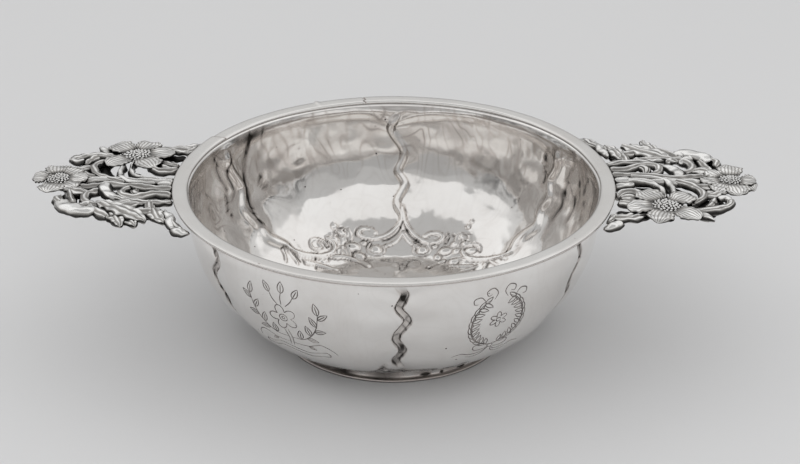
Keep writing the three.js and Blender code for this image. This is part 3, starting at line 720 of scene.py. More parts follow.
# Folds in the sheet beside the side ribs, each tarnished: degrees about Z and way down the wall, half width
FOLDS = [
    ([(135.7, 0), (140, 2.6), (142.4, 9.1), (144.7, 15.6), (145.3, 22.9), (145.6, 30), (145, 36)], 0.6),
    ([(158, 1), (156.6, 8), (153.4, 15), (155.8, 22), (154, 28)], 0.4),
    ([(149.6, 4), (151.8, 10), (150.4, 16), (152.6, 22)], 0.35),
    ([(136.5, 16), (138, 19), (136.2, 22), (138.4, 25)], 0.4),
    ([(23.2, 0), (21.4, 2.4), (23.6, 8), (24.8, 14.7), (24.2, 20), (25.7, 24.6), (26.8, 34)], 0.55),
    ([(17.6, 1.5), (16.8, 7), (19.4, 13), (18.2, 19), (20.4, 27)], 0.4),
    ([(12, 4), (13.4, 10), (11.8, 17), (14, 24)], 0.35),
    ([(35.5, 3), (36.8, 9), (35.2, 15), (37, 21)], 0.35),
]


def fold_film(theta, way, radius):
    """How dark the folds are: a bell across each one's smooth course, faded at both ends."""
    darkened = np.zeros(theta.shape)
    for points, half in FOLDS:
        course = smooth_path([(math.radians(a) * TRACE_RADIUS, s) for a, s in points], 60)
        middle = np.interp(way, course[:, 1], course[:, 0]) / TRACE_RADIUS
        gap = turn_from(theta, middle) * radius
        first, last = course[0, 1], course[-1, 1]
        ends = smooth_step(way, first - 1, first + 1.5) * (1 - smooth_step(way, last - 5, last))
        darkened = np.maximum(darkened, bell(gap, half * 2.0) * ends)
    return darkened


def rib_section(theta, way, side, inside):
    """A rib's height and its edges' darkness, which is painted shade, and how strong the rib is there. Inside
    it is a cushion that falls as the cube of the way across, broader low down at the bowl's sides. Outside it
    is a flat channel with soft walls."""
    last = 47.0 if inside else 42.0
    strength = smooth_step(way, 2.0, 5.5) * (1 - smooth_step(way, last - 4, last))
    if inside:
        broad = side / (1 + 1.4 * np.abs(np.cos(theta)) ** 4 * bell(way - 38, 8))
        rib = RIB_DEPTH * (1 - np.clip(broad / 1.6, 0, 1) ** 3)
        # Painted shade, faint, along the cushion's foot
        edge = 0.12 * bell(broad - 1.65, 0.25)
    else:
        rib = 1.1 * RIB_DEPTH * (1 - smooth_step(side, 0.75, 1.35))
        # Painted shade along the channel's walls
        edge = bell(side - 1.1, 0.22)
    return rib * strength, edge * strength, strength


def side_creases(theta, way, nearest):
    """Upright creases at the bowl's two sides: the sine of the distance from a rib, made uneven."""
    to_side = np.abs(np.cos(theta)) ** 4 * bell(way - 14, 11)
    return to_side * np.sin(TURN * (nearest + 0.9 * waves_round(theta, way, 11, 31)) / 3.6)


def hammering(theta, way, radius, crease, inside):
    """Soft unevenness of the sheet. Inside it has the creases, the folds and one ring-shaped dent; outside
    it is weaker and stops at the foot's seat. It fades towards the centre of the floor."""
    hammer = 0.075 * waves_round(theta, way, 17, 3) + 0.045 * waves_round(theta, way, 9, 5)
    if inside:
        hammer = hammer + 0.012 * waves_round(theta, way, 4.5, 7)
        hammer = hammer + 0.12 * crease - 0.12 * fold_film(theta, way, radius)
        ring = np.hypot((theta - math.radians(122.3)) * radius, way - 14)
        hammer = hammer + 0.16 * bell(ring - 3.6, 0.8)
    else:
        hammer = hammer * 0.42 * np.clip(np.abs(way - SEAT_WAY) / 3.0, 0, 1)
    return hammer * smooth_step(CENTRE_WAY - way, 10, 34)


def inside_film(theta, way, radius, crease):
    """Tarnish inside: thin and uneven in the upper part, stronger at the sides and in the creases, and dark
    in the folds and in one slit under the lip."""
    uneven = 0.5 + 0.5 * waves_round(theta, way, 12, 41)
    darkened = (1 - smooth_step(way + 3 * uneven, 12, 32)) * (0.04 + 0.07 * uneven)
    darkened = np.maximum(darkened, 0.4 * smooth_step(crease, 0.25, 0.9) * smooth_step(uneven, 0.2, 0.6))
    at_sides = 0.3 * np.abs(np.cos(theta)) ** 6 * (1 - smooth_step(way, 18, 34))
    darkened = np.maximum(darkened, at_sides * smooth_step(uneven, 0.3, 0.8))
    darkened = np.maximum(darkened, fold_film(theta, way, radius) * (0.6 + 0.35 * uneven))
    slit = bell((theta - math.radians(139)) * radius, 6.5) * bell(way - 1.8, 1.8)
    return np.maximum(darkened, 0.9 * slit)


def outside_film(theta, way, side, strength, raised):
    """Darkening outside: black in two stretches of each channel and brown in the rest; tarnish and painted
    shade in the hollows behind the border; low on the wall, tarnish and a painted reflection of the shadow
    under the bowl, uneven and darker at the left; thin tarnish under the floor."""
    black_stretches = np.maximum(bell(way - 6.2, 2.2), bell(way - 28, 4)) * (1 - smooth_step(side, 0.4, 1.2))
    darkened = np.maximum(0.3 * (1 - smooth_step(side, 0.8, 1.4)) * strength, 0.95 * black_stretches)
    # Tarnish and painted shade in the hollows behind the border
    darkened = np.maximum(darkened, 0.7 * smooth_step(raised, 0.1, 0.45) * smooth_step(way, 38, 40))
    shaded = np.clip(0.45 + 0.35 * waves_round(theta, 3 * way, 15, 43), 0.1, 0.8)
    # Low on the wall: tarnish and a painted reflection of the shadow under the bowl, uneven and darker at the
    # left
    low = smooth_step(way, 44, 46.5) * (1 - 0.8 * smooth_step(np.cos(theta), -0.05, 0.12))
    under = smooth_step(way, SEAT_WAY, SEAT_WAY + 3)
    return np.maximum(darkened, low * shaded * (1 - under)) + 0.12 * under


def sheet_relief(theta, way, inside):
    """How far the sheet is driven inwards at each point, and how dark it is. The wall is drawn in towards
    each rib as the fourth power of the way from the lobe's middle; each rib forks at the top along an arch
    that falls off as an exponential; the ribs, the border and soft hammering are laid over."""
    radius = np.interp(way, WAY, WALL_RADIUS)
    nearest = rib_distance(theta, way, radius)
    side = np.abs(nearest)
    share = np.clip(side / (radius * LOBE_ANGLE / 2 + 1e-6), 0, 1)
    down = np.clip(way / SEAT_WAY, 0, 1)
    lobes = LOBE_DEPTH * (1 - share) ** 4 * np.sin(math.pi * down) ** 0.5
    arch = 1.5 + 4.8 * np.exp(-side / 6.5)
    above = 0.3 * (1 - smooth_step(way, arch, arch + 3.0))
    fork = (0.25 * np.exp(-side / 9) + 0.03) * bell(way - arch, 1.1) * smooth_step(side, 0.5, 2.5)
    ridge, edge, strength = rib_section(theta, way, side, inside)
    spot = way > BORDER_TOP
    raised = np.zeros(theta.shape)
    cut = np.zeros(theta.shape)
    if spot.any():
        raised[spot], cut[spot] = border_relief(theta[spot], way[spot], inside)
    if not inside:
        off_seat = np.clip(np.abs(way - SEAT_WAY) / 3.0, 0, 1) ** 2
        raised, cut = raised * off_seat * 0.8, cut * off_seat * 0.3
    over = np.where(raised < 0, ridge + raised, np.maximum(ridge, raised))
    if inside:
        crease = side_creases(theta, way, nearest)
        darkened = inside_film(theta, way, radius, crease)
    else:
        crease = 0.0
        darkened = outside_film(theta, way, side, strength, raised)
    relief = (lobes + above + fork + over) * smooth_step(way, 0.0, 1.4)
    relief = relief + hammering(theta, way, radius, crease, inside) * smooth_step(way, 0.0, 4.0)
    return relief, np.clip(np.maximum(np.maximum(edge * 0.8, cut), darkened), 0, 1)


# The sheet's columns for each lobe, and how many stand close together on each side of a rib
COLUMNS_PER_LOBE = 64
CLOSE_COLUMNS = 13
# The ways down the wall between which the columns spread evenly, outside and inside. The rows from the
# second pair's first way on, over the border, have twice the columns.
EVEN_OUTSIDE = (42, 48)
EVEN_INSIDE = (34.1, 40)


def lobe_columns(way, uniform):
    """The angle of each column round the bowl on one row: close columns follow each side of every rib at
    fixed distances, the rest share the lobe; uniform 1 spreads them all evenly."""
    reach = 4
    radius = float(np.interp(way, WAY, WALL_RADIUS))
    near = np.linspace(0, 1, CLOSE_COLUMNS) ** 1.15 * reach
    full = LOBE_ANGLE * radius
    rest = np.linspace(near[-1], full - near[-1], COLUMNS_PER_LOBE - 2 * CLOSE_COLUMNS + 3)[1:-1]
    place = np.r_[near, rest, full - near[:0:-1]]
    here_share = 1 - smooth_step(place, reach, full * 0.42)
    there_share = 1 - smooth_step(full - place, reach, full * 0.42)
    columns = []
    for number in range(LOBES):
        base = math.pi / 2 + number * LOBE_ANGLE
        here = rib_angle(number, way) - RIB_COURSES[number][0]
        there = rib_angle(number + 1, way) - RIB_COURSES[(number + 1) % LOBES][0]
        columns.append(base + place / radius + (here * here_share + there * there_share))
    count = LOBES * COLUMNS_PER_LOBE
    even = math.pi / 2 + np.arange(count) * TURN / count
    return (1 - uniform) * np.concatenate(columns) + uniform * even


def doubled(angles):
    """A row with a new column midway between each pair."""
    following = np.r_[angles[1:], angles[0] + TURN]
    return np.stack([angles, (angles + following) / 2], -1).ravel()


def sheet_points(theta, way, inside, lift=0.0):
    """Points of one side of the sheet: the wall table's point, moved in along its normal by the relief,
    and by the sheet's thickness on the inner side, and moved out by lift."""
    relief, dark = sheet_relief(theta, way, inside)
    slope_r = np.interp(way, WAY, SLOPE_RADIUS)
    slope_h = np.interp(way, WAY, SLOPE_HEIGHT)
    length = np.hypot(slope_r, slope_h)
    inward = relief + (WALL if inside else 0.0) - lift
    radius = np.interp(way, WAY, WALL_RADIUS) + inward * slope_h / length
    height = np.interp(way, WAY, WALL_HEIGHT) - inward * slope_r / length
    return round_points(radius, theta, height), dark


def sheet_rows():
    """The sheet's rows of points with their darkness: the underside from its centre outwards, up the outer
    wall, over the lip, down the inner wall, over the border at twice the columns, and to the centre. The
    number of the first row with twice the columns comes with them."""
    rows = []

    def row(way, angles, inside):
        points, dark = sheet_points(angles, np.full(angles.shape, float(way)), inside)
        rows.append((points, dark))

    def outside_columns(way):
        return lobe_columns(way, float(smooth_step(way, *EVEN_OUTSIDE)))

    for way in np.linspace(CENTRE_WAY - 3, SEAT_WAY + 3, 8):
        row(way, outside_columns(way), False)
    for way in np.r_[np.linspace(SEAT_WAY + 1, 8, 52), np.linspace(7.2, 0.0, 11)]:
        row(way, outside_columns(way), False)
    lip = lobe_columns(0.0, 0.0)
    under_lip = LIP_TOP - WALL
    for radius, height in ((MOUTH + LIP_WIDTH * 0.5, under_lip), (MOUTH + LIP_WIDTH, under_lip),
                           (MOUTH + LIP_WIDTH, LIP_TOP), (MOUTH + LIP_WIDTH * 0.4, LIP_TOP),
                           (MOUTH - WALL + 0.25, LIP_TOP)):
        rows.append((round_points(radius, lip, height), np.zeros(lip.shape)))
    for way in np.r_[np.linspace(0.0, 8, 12), np.linspace(9, 33.5, 27)]:
        row(way, lobe_columns(way, 0.0), True)
    first_fine = len(rows)
    fine_ways = np.linspace(EVEN_INSIDE[0], SEAT_WAY + SEAT - 26, 62)
    for way in fine_ways:
        row(way, doubled(lobe_columns(way, float(smooth_step(way, *EVEN_INSIDE)))), True)
    for way in np.linspace(fine_ways[-1] + 1.2, CENTRE_WAY - 2.5, 9):
        row(way, lobe_columns(way, 1.0), True)
    return rows, first_fine


def bowl_body():
    """The whole sheet as one closed surface over its rows. Three triangles a column join a row to one with
    twice its columns, and a fan closes each centre."""
    rows, first_fine = sheet_rows()
    coarse = LOBES * COLUMNS_PER_LOBE
    sizes = np.array([len(points) for points, _ in rows])
    starts = np.r_[0, np.cumsum(sizes)]
    quads, triangles = [], []
    for number in range(len(rows) - 1):
        a, b = starts[number], starts[number + 1]
        if sizes[number] == sizes[number + 1]:
            j = np.arange(sizes[number])
            k = (j + 1) % sizes[number]
            quads.append(np.stack([a + j, a + k, b + k, b + j], -1))
        else:
            wide, narrow = (b, a) if number + 1 == first_fine else (a, b)
            j = np.arange(coarse)
            k = (j + 1) % coarse
            left, middle, right = wide + 2 * j, wide + 2 * j + 1, wide + (2 * j + 2) % (2 * coarse)
            fans = np.vstack([
                np.stack([narrow + j, narrow + k, middle], -1),
                np.stack([narrow + j, middle, left], -1),
                np.stack([narrow + k, right, middle], -1),
            ])
            triangles.append(fans if number + 1 == first_fine else fans[:, ::-1])
    total = starts[-1]
    j = np.arange(coarse)
    k = (j + 1) % coarse
    triangles.append(np.stack([np.full(coarse, total), k, j], -1))
    end = starts[-2]
    triangles.append(np.stack([np.full(coarse, total + 1), end + j, end + k], -1))
    below = (0, 0, FOOT_HEIGHT + FLOOR_RISE)
    above = (0, 0, FOOT_HEIGHT + FLOOR_RISE + WALL)
    points = np.vstack([p for p, _ in rows] + [below, above])
    dark = np.concatenate([d for _, d in rows] + [[0, 0]])
    return *facing_out(points, np.vstack(quads), np.vstack(triangles)), dark


put_mesh("bowl_raised_sheet", bowl_body(), BOWL_SILVER, ["bowl_body"])


# Plain engraved ornament on the two front panels


LEFT_PANEL = math.radians(239.5)
RIGHT_PANEL = math.radians(299.0)
LINE_HALF_WIDTH = 0.24
# A strip's four points across: their places in half widths, and how far each stands out of the sheet
STRIP_PLACES = np.array([-1, -0.7, 0.7, 1])
STRIP_LIFTS = np.array([-0.05, 0.018, 0.018, -0.05])


def cut_strips(middle, lines):
    """Narrow strips with a shallow roof across, carried along paths on the outer wall. A path is drawn in
    millimetres right of the panel's middle and down from the rim, and its strip narrows at both ends as the
    root of a sine."""
    sections = []
    for points in lines:
        path = smooth_path(points, 8 + 3 * len(points))
        heading = unit(np.gradient(path, axis=0))
        side = np.stack([-heading[:, 1], heading[:, 0]], -1)
        taper = LINE_HALF_WIDTH * (0.25 + 0.75 * np.sin(math.pi * np.linspace(0, 1, len(path))) ** 0.5)
        sections.append(path[:, None] + side[:, None] * (STRIP_PLACES[:, None] * taper[:, None, None]))
    flat = np.concatenate(sections)
    lift = np.broadcast_to(STRIP_LIFTS, flat.shape[:2])
    theta = middle + flat[..., 0].ravel() / TRACE_RADIUS
    points = sheet_points(theta, flat[..., 1].ravel(), False, lift.ravel())[0].reshape(-1, 4, 3)
    ends = np.cumsum([len(section) for section in sections])[:-1]
    return [wound_body(rings) for rings in np.split(points, ends)]


def leaf_lines(base, tip, half_width):
    """A leaf's outline and midrib: two arcs whose width grows as a sine, from base to tip."""
    base, tip = np.array(base, float), np.array(tip, float)
    along = tip - base
    across = np.array([-along[1], along[0]]) / np.hypot(*along) * half_width
    t = np.linspace(0, 1, 7)[:, None]
    bow = np.sin(math.pi * t**0.8)
    middle = base + along * t
    return [middle + across * bow, middle - across * bow, np.array([base, base + along * 0.75])]


def ring_line(centre, radius, petals=0, depth=0.0):
    """A closed round line whose radius swells petals times as the absolute value of a sine."""
    t = np.linspace(0, TURN, 8 * max(petals, 2) + 1)
    r = radius + depth * np.abs(np.sin(petals * t / 2))
    return np.stack([centre[0] + r * np.cos(t), centre[1] + r * np.sin(t)], -1)


def flower_spray():
    """A blossom on a stalk with leafy side sprays, three buds over it and a knotted band under it."""
    lines = [ring_line((0, 17.5), 1.3), ring_line((0, 17.5), 2.3, 5, 2.4), ring_line((0, 17.5), 0.5)]
    lines += [np.array(p, float) for p in (
        [(0.6, 22), (1.2, 26), (0.4, 30)], [(-0.6, 22), (0, 26), (-0.6, 30)],
        [(0.8, 25.5), (5, 25.4), (8.4, 22.6), (10.6, 18.4), (11.4, 13.6)],
        [(0.2, 25.5), (-4.4, 25), (-8, 21.6), (-10.4, 17), (-11.4, 12)],
        [(0, 12.8), (-0.2, 10.5), (0.2, 8.4)], [(-1.2, 13), (-3, 11), (-3.8, 9)],
        [(1.2, 13), (3, 11), (4, 9.2)],
        [(0.6, 28.5), (6, 28.6), (10.4, 26.6), (13.6, 28.4), (15.4, 31)],
        [(0, 28.5), (-5, 28), (-9.4, 26), (-12.4, 28), (-13.4, 31)],
        [(-9, 32.4), (-4.6, 30.4), (0, 31.6), (4.6, 33), (9.6, 31.4)],
        [(-9.4, 34.6), (-4.8, 32.6), (0, 33.8), (4.6, 35.2), (9.8, 33.6)],
        [(-9, 32.4), (-11.4, 32), (-12, 34), (-9.4, 34.6)],
        [(9.6, 31.4), (12, 31), (12.4, 33.2), (9.8, 33.6)],
    )]
    for base, tip, half in (
        ((0.2, 8.6), (0.4, 4.4), 1.0), ((-3.8, 9.2), (-5.6, 5.6), 0.9), ((4, 9.4), (5.8, 5.8), 0.9),
        ((4.4, 25.4), (4.6, 21.4), 0.9), ((6.6, 24.4), (10.4, 25.2), 0.8), ((8.2, 22.8), (7, 18.6), 0.9),
        ((9.6, 20.6), (13.4, 20), 0.8), ((10.6, 18.4), (8.6, 14.8), 0.8), ((11.2, 15.4), (14.4, 13), 0.8),
        ((11.4, 13.8), (10.4, 9.4), 0.9), ((-4, 25), (-4.4, 21), 0.9), ((-6.2, 23.6), (-10.2, 24.2), 0.8),
        ((-7.8, 21.8), (-6.8, 17.6), 0.9), ((-9.2, 19.4), (-13, 18.6), 0.8), ((-10.4, 17), (-8.4, 13.4), 0.8),
        ((-11, 14), (-14.2, 11.6), 0.8), ((-11.4, 12.2), (-10.6, 7.8), 0.9),
        ((6, 28.6), (8.4, 30.2), 0.6), ((-5, 28), (-7.4, 29.8), 0.6),
    ):
        lines += leaf_lines(base, tip, half)
    return lines


def leaf_wreath():
    """An open wreath of two leafy twigs tied under a small rosette, with a scroll over each end."""
    lines = [ring_line((0, 17.6), 1.2, 6, 1.7), ring_line((0, 17.6), 0.7), ring_line((0, 29.6), 0.9)]
    radius = 8.6
    for side in (-1, 1):
        turns = np.linspace(math.pi / 2, -0.38 * math.pi, 12)
        twig = np.stack([side * radius * np.cos(turns), 18.6 + 1.15 * radius * np.sin(turns)], -1)
        lines.append(twig)
        for number in range(1, 11):
            x, y = twig[number]
            lean = turns[number] - 0.55
            for spread in (-0.62, 0.62):
                way = lean - math.pi / 2 + spread
                tip = (x + side * 3.1 * math.cos(way), y + 3.3 * math.sin(way))
                lines += leaf_lines((x, y), tip, 0.62)[:2]
        lines += [np.array([(side * a, b) for a, b in run], float) for run in (
            [(0.8, 29.2), (3.4, 27.6), (6, 28.4), (5.4, 30.6), (2.8, 31), (0.8, 30)],
            [(0.6, 30.4), (2.6, 32.6), (6.4, 33), (9.4, 31.6), (12.6, 32.6)],
            [(0.6, 30.8), (1.8, 33.4), (4.4, 35), (7.4, 34.2)],
            [(2.2, 9.6), (1.2, 7.4), (2.6, 5.6), (4.6, 6.4), (4.2, 8), (3, 7.6)],
            [(4.8, 9.8), (6.4, 8), (8.4, 8.4), (8.4, 10), (7.2, 10.2)],
        )]
    return lines


engraved = cut_strips(LEFT_PANEL, flower_spray()) + cut_strips(RIGHT_PANEL, leaf_wreath())
put_mesh("engraved_lines", joined(engraved), CUT_LINES)


# The rim band and the foot ring


def angles_round(count, marks, reach):
    """Count angles round the ring, drawn closer together about the marked ones."""
    even = np.linspace(0, TURN, 4001)
    dense = 1 + sum(7 * bell(turn_from(even, mark), reach) for mark in marks)
    total = np.r_[0, np.cumsum((dense[1:] + dense[:-1]) / 2)]
    return np.interp(np.arange(count) / count * total[-1], total, even)


def rim_band():
    """The flat strip on the lip: a rounded outline carried round, with a slight waviness, the lapped ends
    of the strip as a small step at 150 degrees, a crack line at 99 and a burr on the edge at 113."""
    lap, crack, burr = (math.radians(a) for a in (149.6, 99, 113))
    theta = angles_round(620, (lap, crack, burr), 0.03)[:, None]
    inner = RIM_RADIUS - RIM_WIDTH
    outline = np.array([
        (inner - 0.2, 0.02), (inner + 2.2, 0.02), (RIM_RADIUS - 0.5, 0), (RIM_RADIUS - 0.22, 0.07),
        (RIM_RADIUS - 0.05, 0.25), (RIM_RADIUS, 0.52), (RIM_RADIUS - 0.04, 0.82), (RIM_RADIUS - 0.2, 1.0),
        (RIM_RADIUS - 0.5, 1.08), (RIM_RADIUS - 1.4, 1.1), (RIM_RADIUS - 2.4, 1.1), (inner + 1.2, 1.09),
        (inner + 0.5, 1.07), (inner + 0.05, 1.0), (inner - 0.25, 0.85), (inner - 0.42, 0.6),
        (inner - 0.48, 0.32), (inner - 0.42, 0.1),
    ])
    radius = outline[None, :, 0] + 0 * theta
    height = LIP_TOP + outline[None, :, 1] + 0 * theta
    top = smooth_step(height, LIP_TOP + 0.3, LIP_TOP + 1.0)
    outer = smooth_step(radius, inner, RIM_RADIUS)
    wavy = 0.035 * waves_round(theta, 0, 26, 11) + 0.02 * waves_round(theta, 0, 11, 12)
    radius = radius + 0.09 * waves_round(theta, 0, 23, 13) * (1 - outer) - 0.05 * outer * (1 + wavy * 6)
    height = height - top * (0.05 - wavy)
    across = (radius - inner) / RIM_WIDTH
    past_lap = theta - lap - 0.02 * across
    height = height + top * 0.36 * (smooth_step(past_lap, -0.004, 0.004) - 0.5) * bell(past_lap, 0.09)
    crack_line = bell(theta - crack - 0.006 * np.sin(9 * across), 0.0035)
    height = height - top * 0.28 * crack_line
    burr_bump = bell(theta - burr, 0.012)
    radius = radius + 0.5 * outer * burr_bump
    height = height + top * outer * 0.3 * burr_bump
    dark = np.maximum(top * np.maximum(0.8 * bell(past_lap, 0.006), crack_line), 0.3 * (1 - top) * outer)
    return wound_ring(round_points(radius, theta, height), dark)


put_mesh("rim_band_strip", rim_band(), RIM_SILVER, ["rim_band"])


# Dark pits in the foot's upright strip, painted black as their shade and tarnish: degrees, height, half
# length and half height
FOOT_PITS = [
    (285.8, 1.75, 2.3, 0.8), (294.4, 1.6, 0.9, 0.8), (305.6, 1.9, 2.4, 1.1), (316.6, 1.9, 0.7, 0.7),
    (320, 2.1, 0.7, 0.7), (28, 2.1, 2.0, 0.8), (58, 2.2, 2.2, 0.8), (71, 2.0, 0.8, 0.6), (88, 2.1, 2.0, 0.8),
    (119, 2.2, 2.3, 0.9), (133, 2.0, 0.7, 0.6), (148, 2.1, 2.1, 0.8), (185, 2.2, 2.4, 0.8),
    (345, 2.1, 2.0, 0.8),
]


def foot_ring():
    """The foot: an upright strip with a thin rounded flange at the floor, carried round with a slight
    waviness. Its tarnish is uneven, darker at the front left, and black in the painted pits; a painted shadow
    darkens it at the floor, and painted shade on top of the flange."""
    theta = np.linspace(0, TURN, 720, endpoint=False)[:, None]
    inner = SEAT - FOOT_WALL
    outline = np.array([
        (inner, 0.1), (inner + 0.12, 0.0), (FOOT_RADIUS - 0.3, 0.0), (FOOT_RADIUS - 0.06, 0.12),
        (FOOT_RADIUS, 0.38), (FOOT_RADIUS - 0.06, 0.66), (FOOT_RADIUS - 0.3, 0.86), (FOOT_RADIUS - 0.7, 1.0),
        (SEAT + 0.08, 1.25), (SEAT - 0.02, 1.55), (SEAT - 0.08, 1.9), (SEAT - 0.11, 2.25), (SEAT - 0.12, 2.6),
        (SEAT - 0.11, 3.0), (SEAT - 0.08, 3.4), (SEAT, 4.1), (SEAT + 0.1, 4.35),
        (SEAT - 0.3, FOOT_HEIGHT), (inner, FOOT_HEIGHT), (inner, 2.2),
    ])
    radius = outline[None, :, 0] + 0 * theta
    height = outline[None, :, 1] + 0 * theta
    outer = smooth_step(radius, inner + 0.3, SEAT)
    radius = radius - outer * (0.04 + 0.03 * waves_round(theta, 0, 30, 21))
    middle = bell(height - 1.0, 0.7)
    darkening = waves_round(theta, 0, 16, 23)
    upright = smooth_step(height, 0.9, 1.6)
    height = np.maximum(height + middle * 0.05 * waves_round(theta, 0, 22, 22), 0)
    front_left = bell(turn_from(theta, math.radians(238)), 0.42)
    # Tarnish all over, a painted shadow where the flange meets the floor, and painted shade on top of the
    # flange by the upright
    dark = 0.3 + 0.5 * (1 - smooth_step(height, 0.25, 0.5)) + 0.4 * bell(height - 1.15, 0.3) * outer
    dark = dark + upright * (0.25 * darkening + 0.5 * front_left - 0.12)
    # The pits are painted black, their shade and tarnish; the strip has no hollow there
    for angle, level, length, tall in FOOT_PITS:
        spread = np.hypot(turn_from(theta, math.radians(angle)) * SEAT / length, (height - level) / tall)
        dark = np.maximum(dark, 0.95 * (1 - smooth_step(spread, 0.55, 1.05)) * outer)
    return wound_ring(round_points(radius, theta, height), np.clip(dark, 0.05, 0.95))


put_mesh("foot_ring_strip", foot_ring(), RIM_SILVER, ["foot_ring"])


# The openwork handles


# No handle point rises above the ceiling, just under the top of the CAD's box
CEILING = 53.36
CEILING_EASE = 0.95


def under_ceiling(height):
    """Heights eased below the ceiling: above the ease's start they go on as its hyperbolic tangent."""
    start = CEILING - CEILING_EASE
    over = np.maximum(height - start, 0)
    return np.minimum(height, start) + CEILING_EASE * np.tanh(over / CEILING_EASE)


def carried(path, at, wide, high, sides, skirt, under, relief, darkness):
    """A closed body: an oval section carried along a smooth path. at is the place along the path of each row,
    wide and high its half width and half height. Below its middle the section widens by skirt, as the root of
    the drop, and is under deep. Its flanks are painted with shade, its underside less so. relief adds height
    over across and along."""
    steps = 200
    dense = smooth_path(path, steps)
    heading = unit(np.gradient(dense, axis=0))
    left = unit(np.stack([-heading[:, 1], heading[:, 0], np.zeros(len(heading))], -1))
    rise = np.cross(heading, left)

    def taken(table):
        return read_between(at, np.linspace(0, 1, steps), table)[:, None]

    angle = (np.arange(sides) + 0.5) * TURN / sides
    across, lift = np.cos(angle)[None, :], np.sin(angle)[None, :]
    ends = (wide / wide.max())[:, None] ** 0.5
    side = across * (wide[:, None] + skirt * np.clip(-lift, 0, 1) ** 0.5 * ends)
    height = np.where(lift > 0, lift * high[:, None], lift * under * ends)
    height = height + relief(at[:, None], across, lift)
    # Painted shade on the flanks, where the section turns sideways and down; the underside is painted lighter
    # again
    flank_shade = 0.9 * smooth_step(-lift, -0.66, 0.02) - 0.65 * smooth_step(-lift, 0.45, 0.9)
    dark = np.maximum(flank_shade, darkness(at[:, None], across, lift))
    rings = taken(dense) + taken(left) * side[..., None] + taken(rise) * height[..., None]
    rings[..., 2] = under_ceiling(rings[..., 2])
    return wound_body(rings, dark)


def blade(path, width, thick, grow=0.7, tip=0.6, peak=0.5, curl=0.0, midrib=0.0, lines=0, line_depth=0.0,
          line_dark=1.0, scallops=0, scallop=0.0, ruffle=0.0, rows=34, sides=18, skirt=0.75,
          under=1.3, root_shade=0.0, shade=0.0):
    """A stem, leaf or petal, in rows that stand closer towards its ends. Its half width grows to width at
    peak as a sine, and both ends are rounded.
    Across it are a midrib, lengthwise lines as a cosine, and edges that curl up as the square of the way
    across; its outline may be scalloped as a cosine and its edges ruffled up and down as a sine. The grooves
    between the lines are darker, with tarnish and painted shade; the root and the sides are painted with
    shade, and a body may be painted dark all over as shade."""
    length = np.linalg.norm(np.diff(smooth_path(path, 60), axis=0), axis=1).sum()
    at = 0.5 - 0.5 * np.cos(np.linspace(0.02, math.pi - 0.02, rows))
    at = 0.6 * at + 0.4 * np.linspace(0, 1, rows)
    at[0], at[-1] = 0.0, 1.0
    growing = np.sin(math.pi / 2 * at / peak)
    falling = np.cos(math.pi / 2 * (at - peak) / (1 - peak + 1e-6))
    share = np.where(at < peak, grow + (1 - grow) * growing, tip + (1 - tip) * falling)
    cap_start = min(0.4, width * grow / length)
    cap_end = min(0.4, width * tip / length)
    start = np.sqrt(np.clip(1 - np.clip(1 - at / cap_start, 0, 1) ** 2, 0, 1))
    end = np.sqrt(np.clip(1 - np.clip(1 - (1 - at) / cap_end, 0, 1) ** 2, 0, 1))
    ends = np.maximum(start * end, 0.02)
    wide = width * share * ends * (1 + scallop * np.cos(TURN * scallops * at))
    high = thick * (0.45 + 0.55 * share) * ends

    def line_wave(across):
        return np.cos(TURN * lines * across / 2)

    def relief(along, across, lift):
        top = np.clip(lift * 1.6, 0, 1)
        body = midrib * bell(across, 0.24)
        body = body + line_depth * line_wave(across) * np.clip(1.15 - np.abs(across), 0, 1)
        wavy = ruffle * np.abs(across) ** 3 * np.sin(TURN * (scallops + 0.5) * along + 1.6 * np.sign(across))
        return (body * top + curl * width * across**2 + wavy) * ends[:, None]

    def darkness(along, across, lift):
        # The grooves between the lines on top are darker, tarnish and painted shade; the root gets painted
        # shade, and shade is the least darkness all over
        line = smooth_step(-line_wave(across), 0.1, 0.9) * (line_dark if lines else 0.0)
        grooves = np.clip(line + root_shade * bell(along, 0.22), 0, 1) * (lift > 0)
        return np.maximum(grooves, shade)

    return carried(path, at, wide, high, sides, skirt, under, relief, darkness)


def raised_path(points):
    """Plan points with a height over the handle's level, as points in space."""
    return np.asarray(points, float) + (0, 0, HANDLE_LEVEL)


def open_bud(path, radius):
    """A rolled bud: a tube whose ends turn in over a dark hollow, carried along a bowed path. The hollow's
    darkness is painted shade on the turned-in rows.
    """
    swell_at = np.linspace(0.03, 0.97, 26)
    at = np.r_[0.18, 0.08, 0.0, 0.0, swell_at, 1.0, 1.0, 0.92, 0.82]
    swell = 0.82 + 0.18 * np.sin(math.pi * swell_at)
    share = np.r_[0.3, 0.55, 0.64, 0.8, swell, 0.8, 0.64, 0.55, 0.3]
    turned_in = 3

    def relief(along, across, lift):
        return 0.16 * np.cos(TURN * 2.5 * across) * np.clip(lift, 0, 1)

    # The turned-in rows are painted black: the shade inside the bud's mouth
    def darkness(along, across, lift):
        row = np.arange(len(at))[:, None]
        inside = (row < turned_in) | (row >= len(at) - turned_in)
        return inside * np.ones(lift.shape)

    wide, high, under = radius * share, radius * 0.6 * share, radius * 0.55
    return carried(path, at, wide, high, sides=26, skirt=0.0, under=under, relief=relief, darkness=darkness)


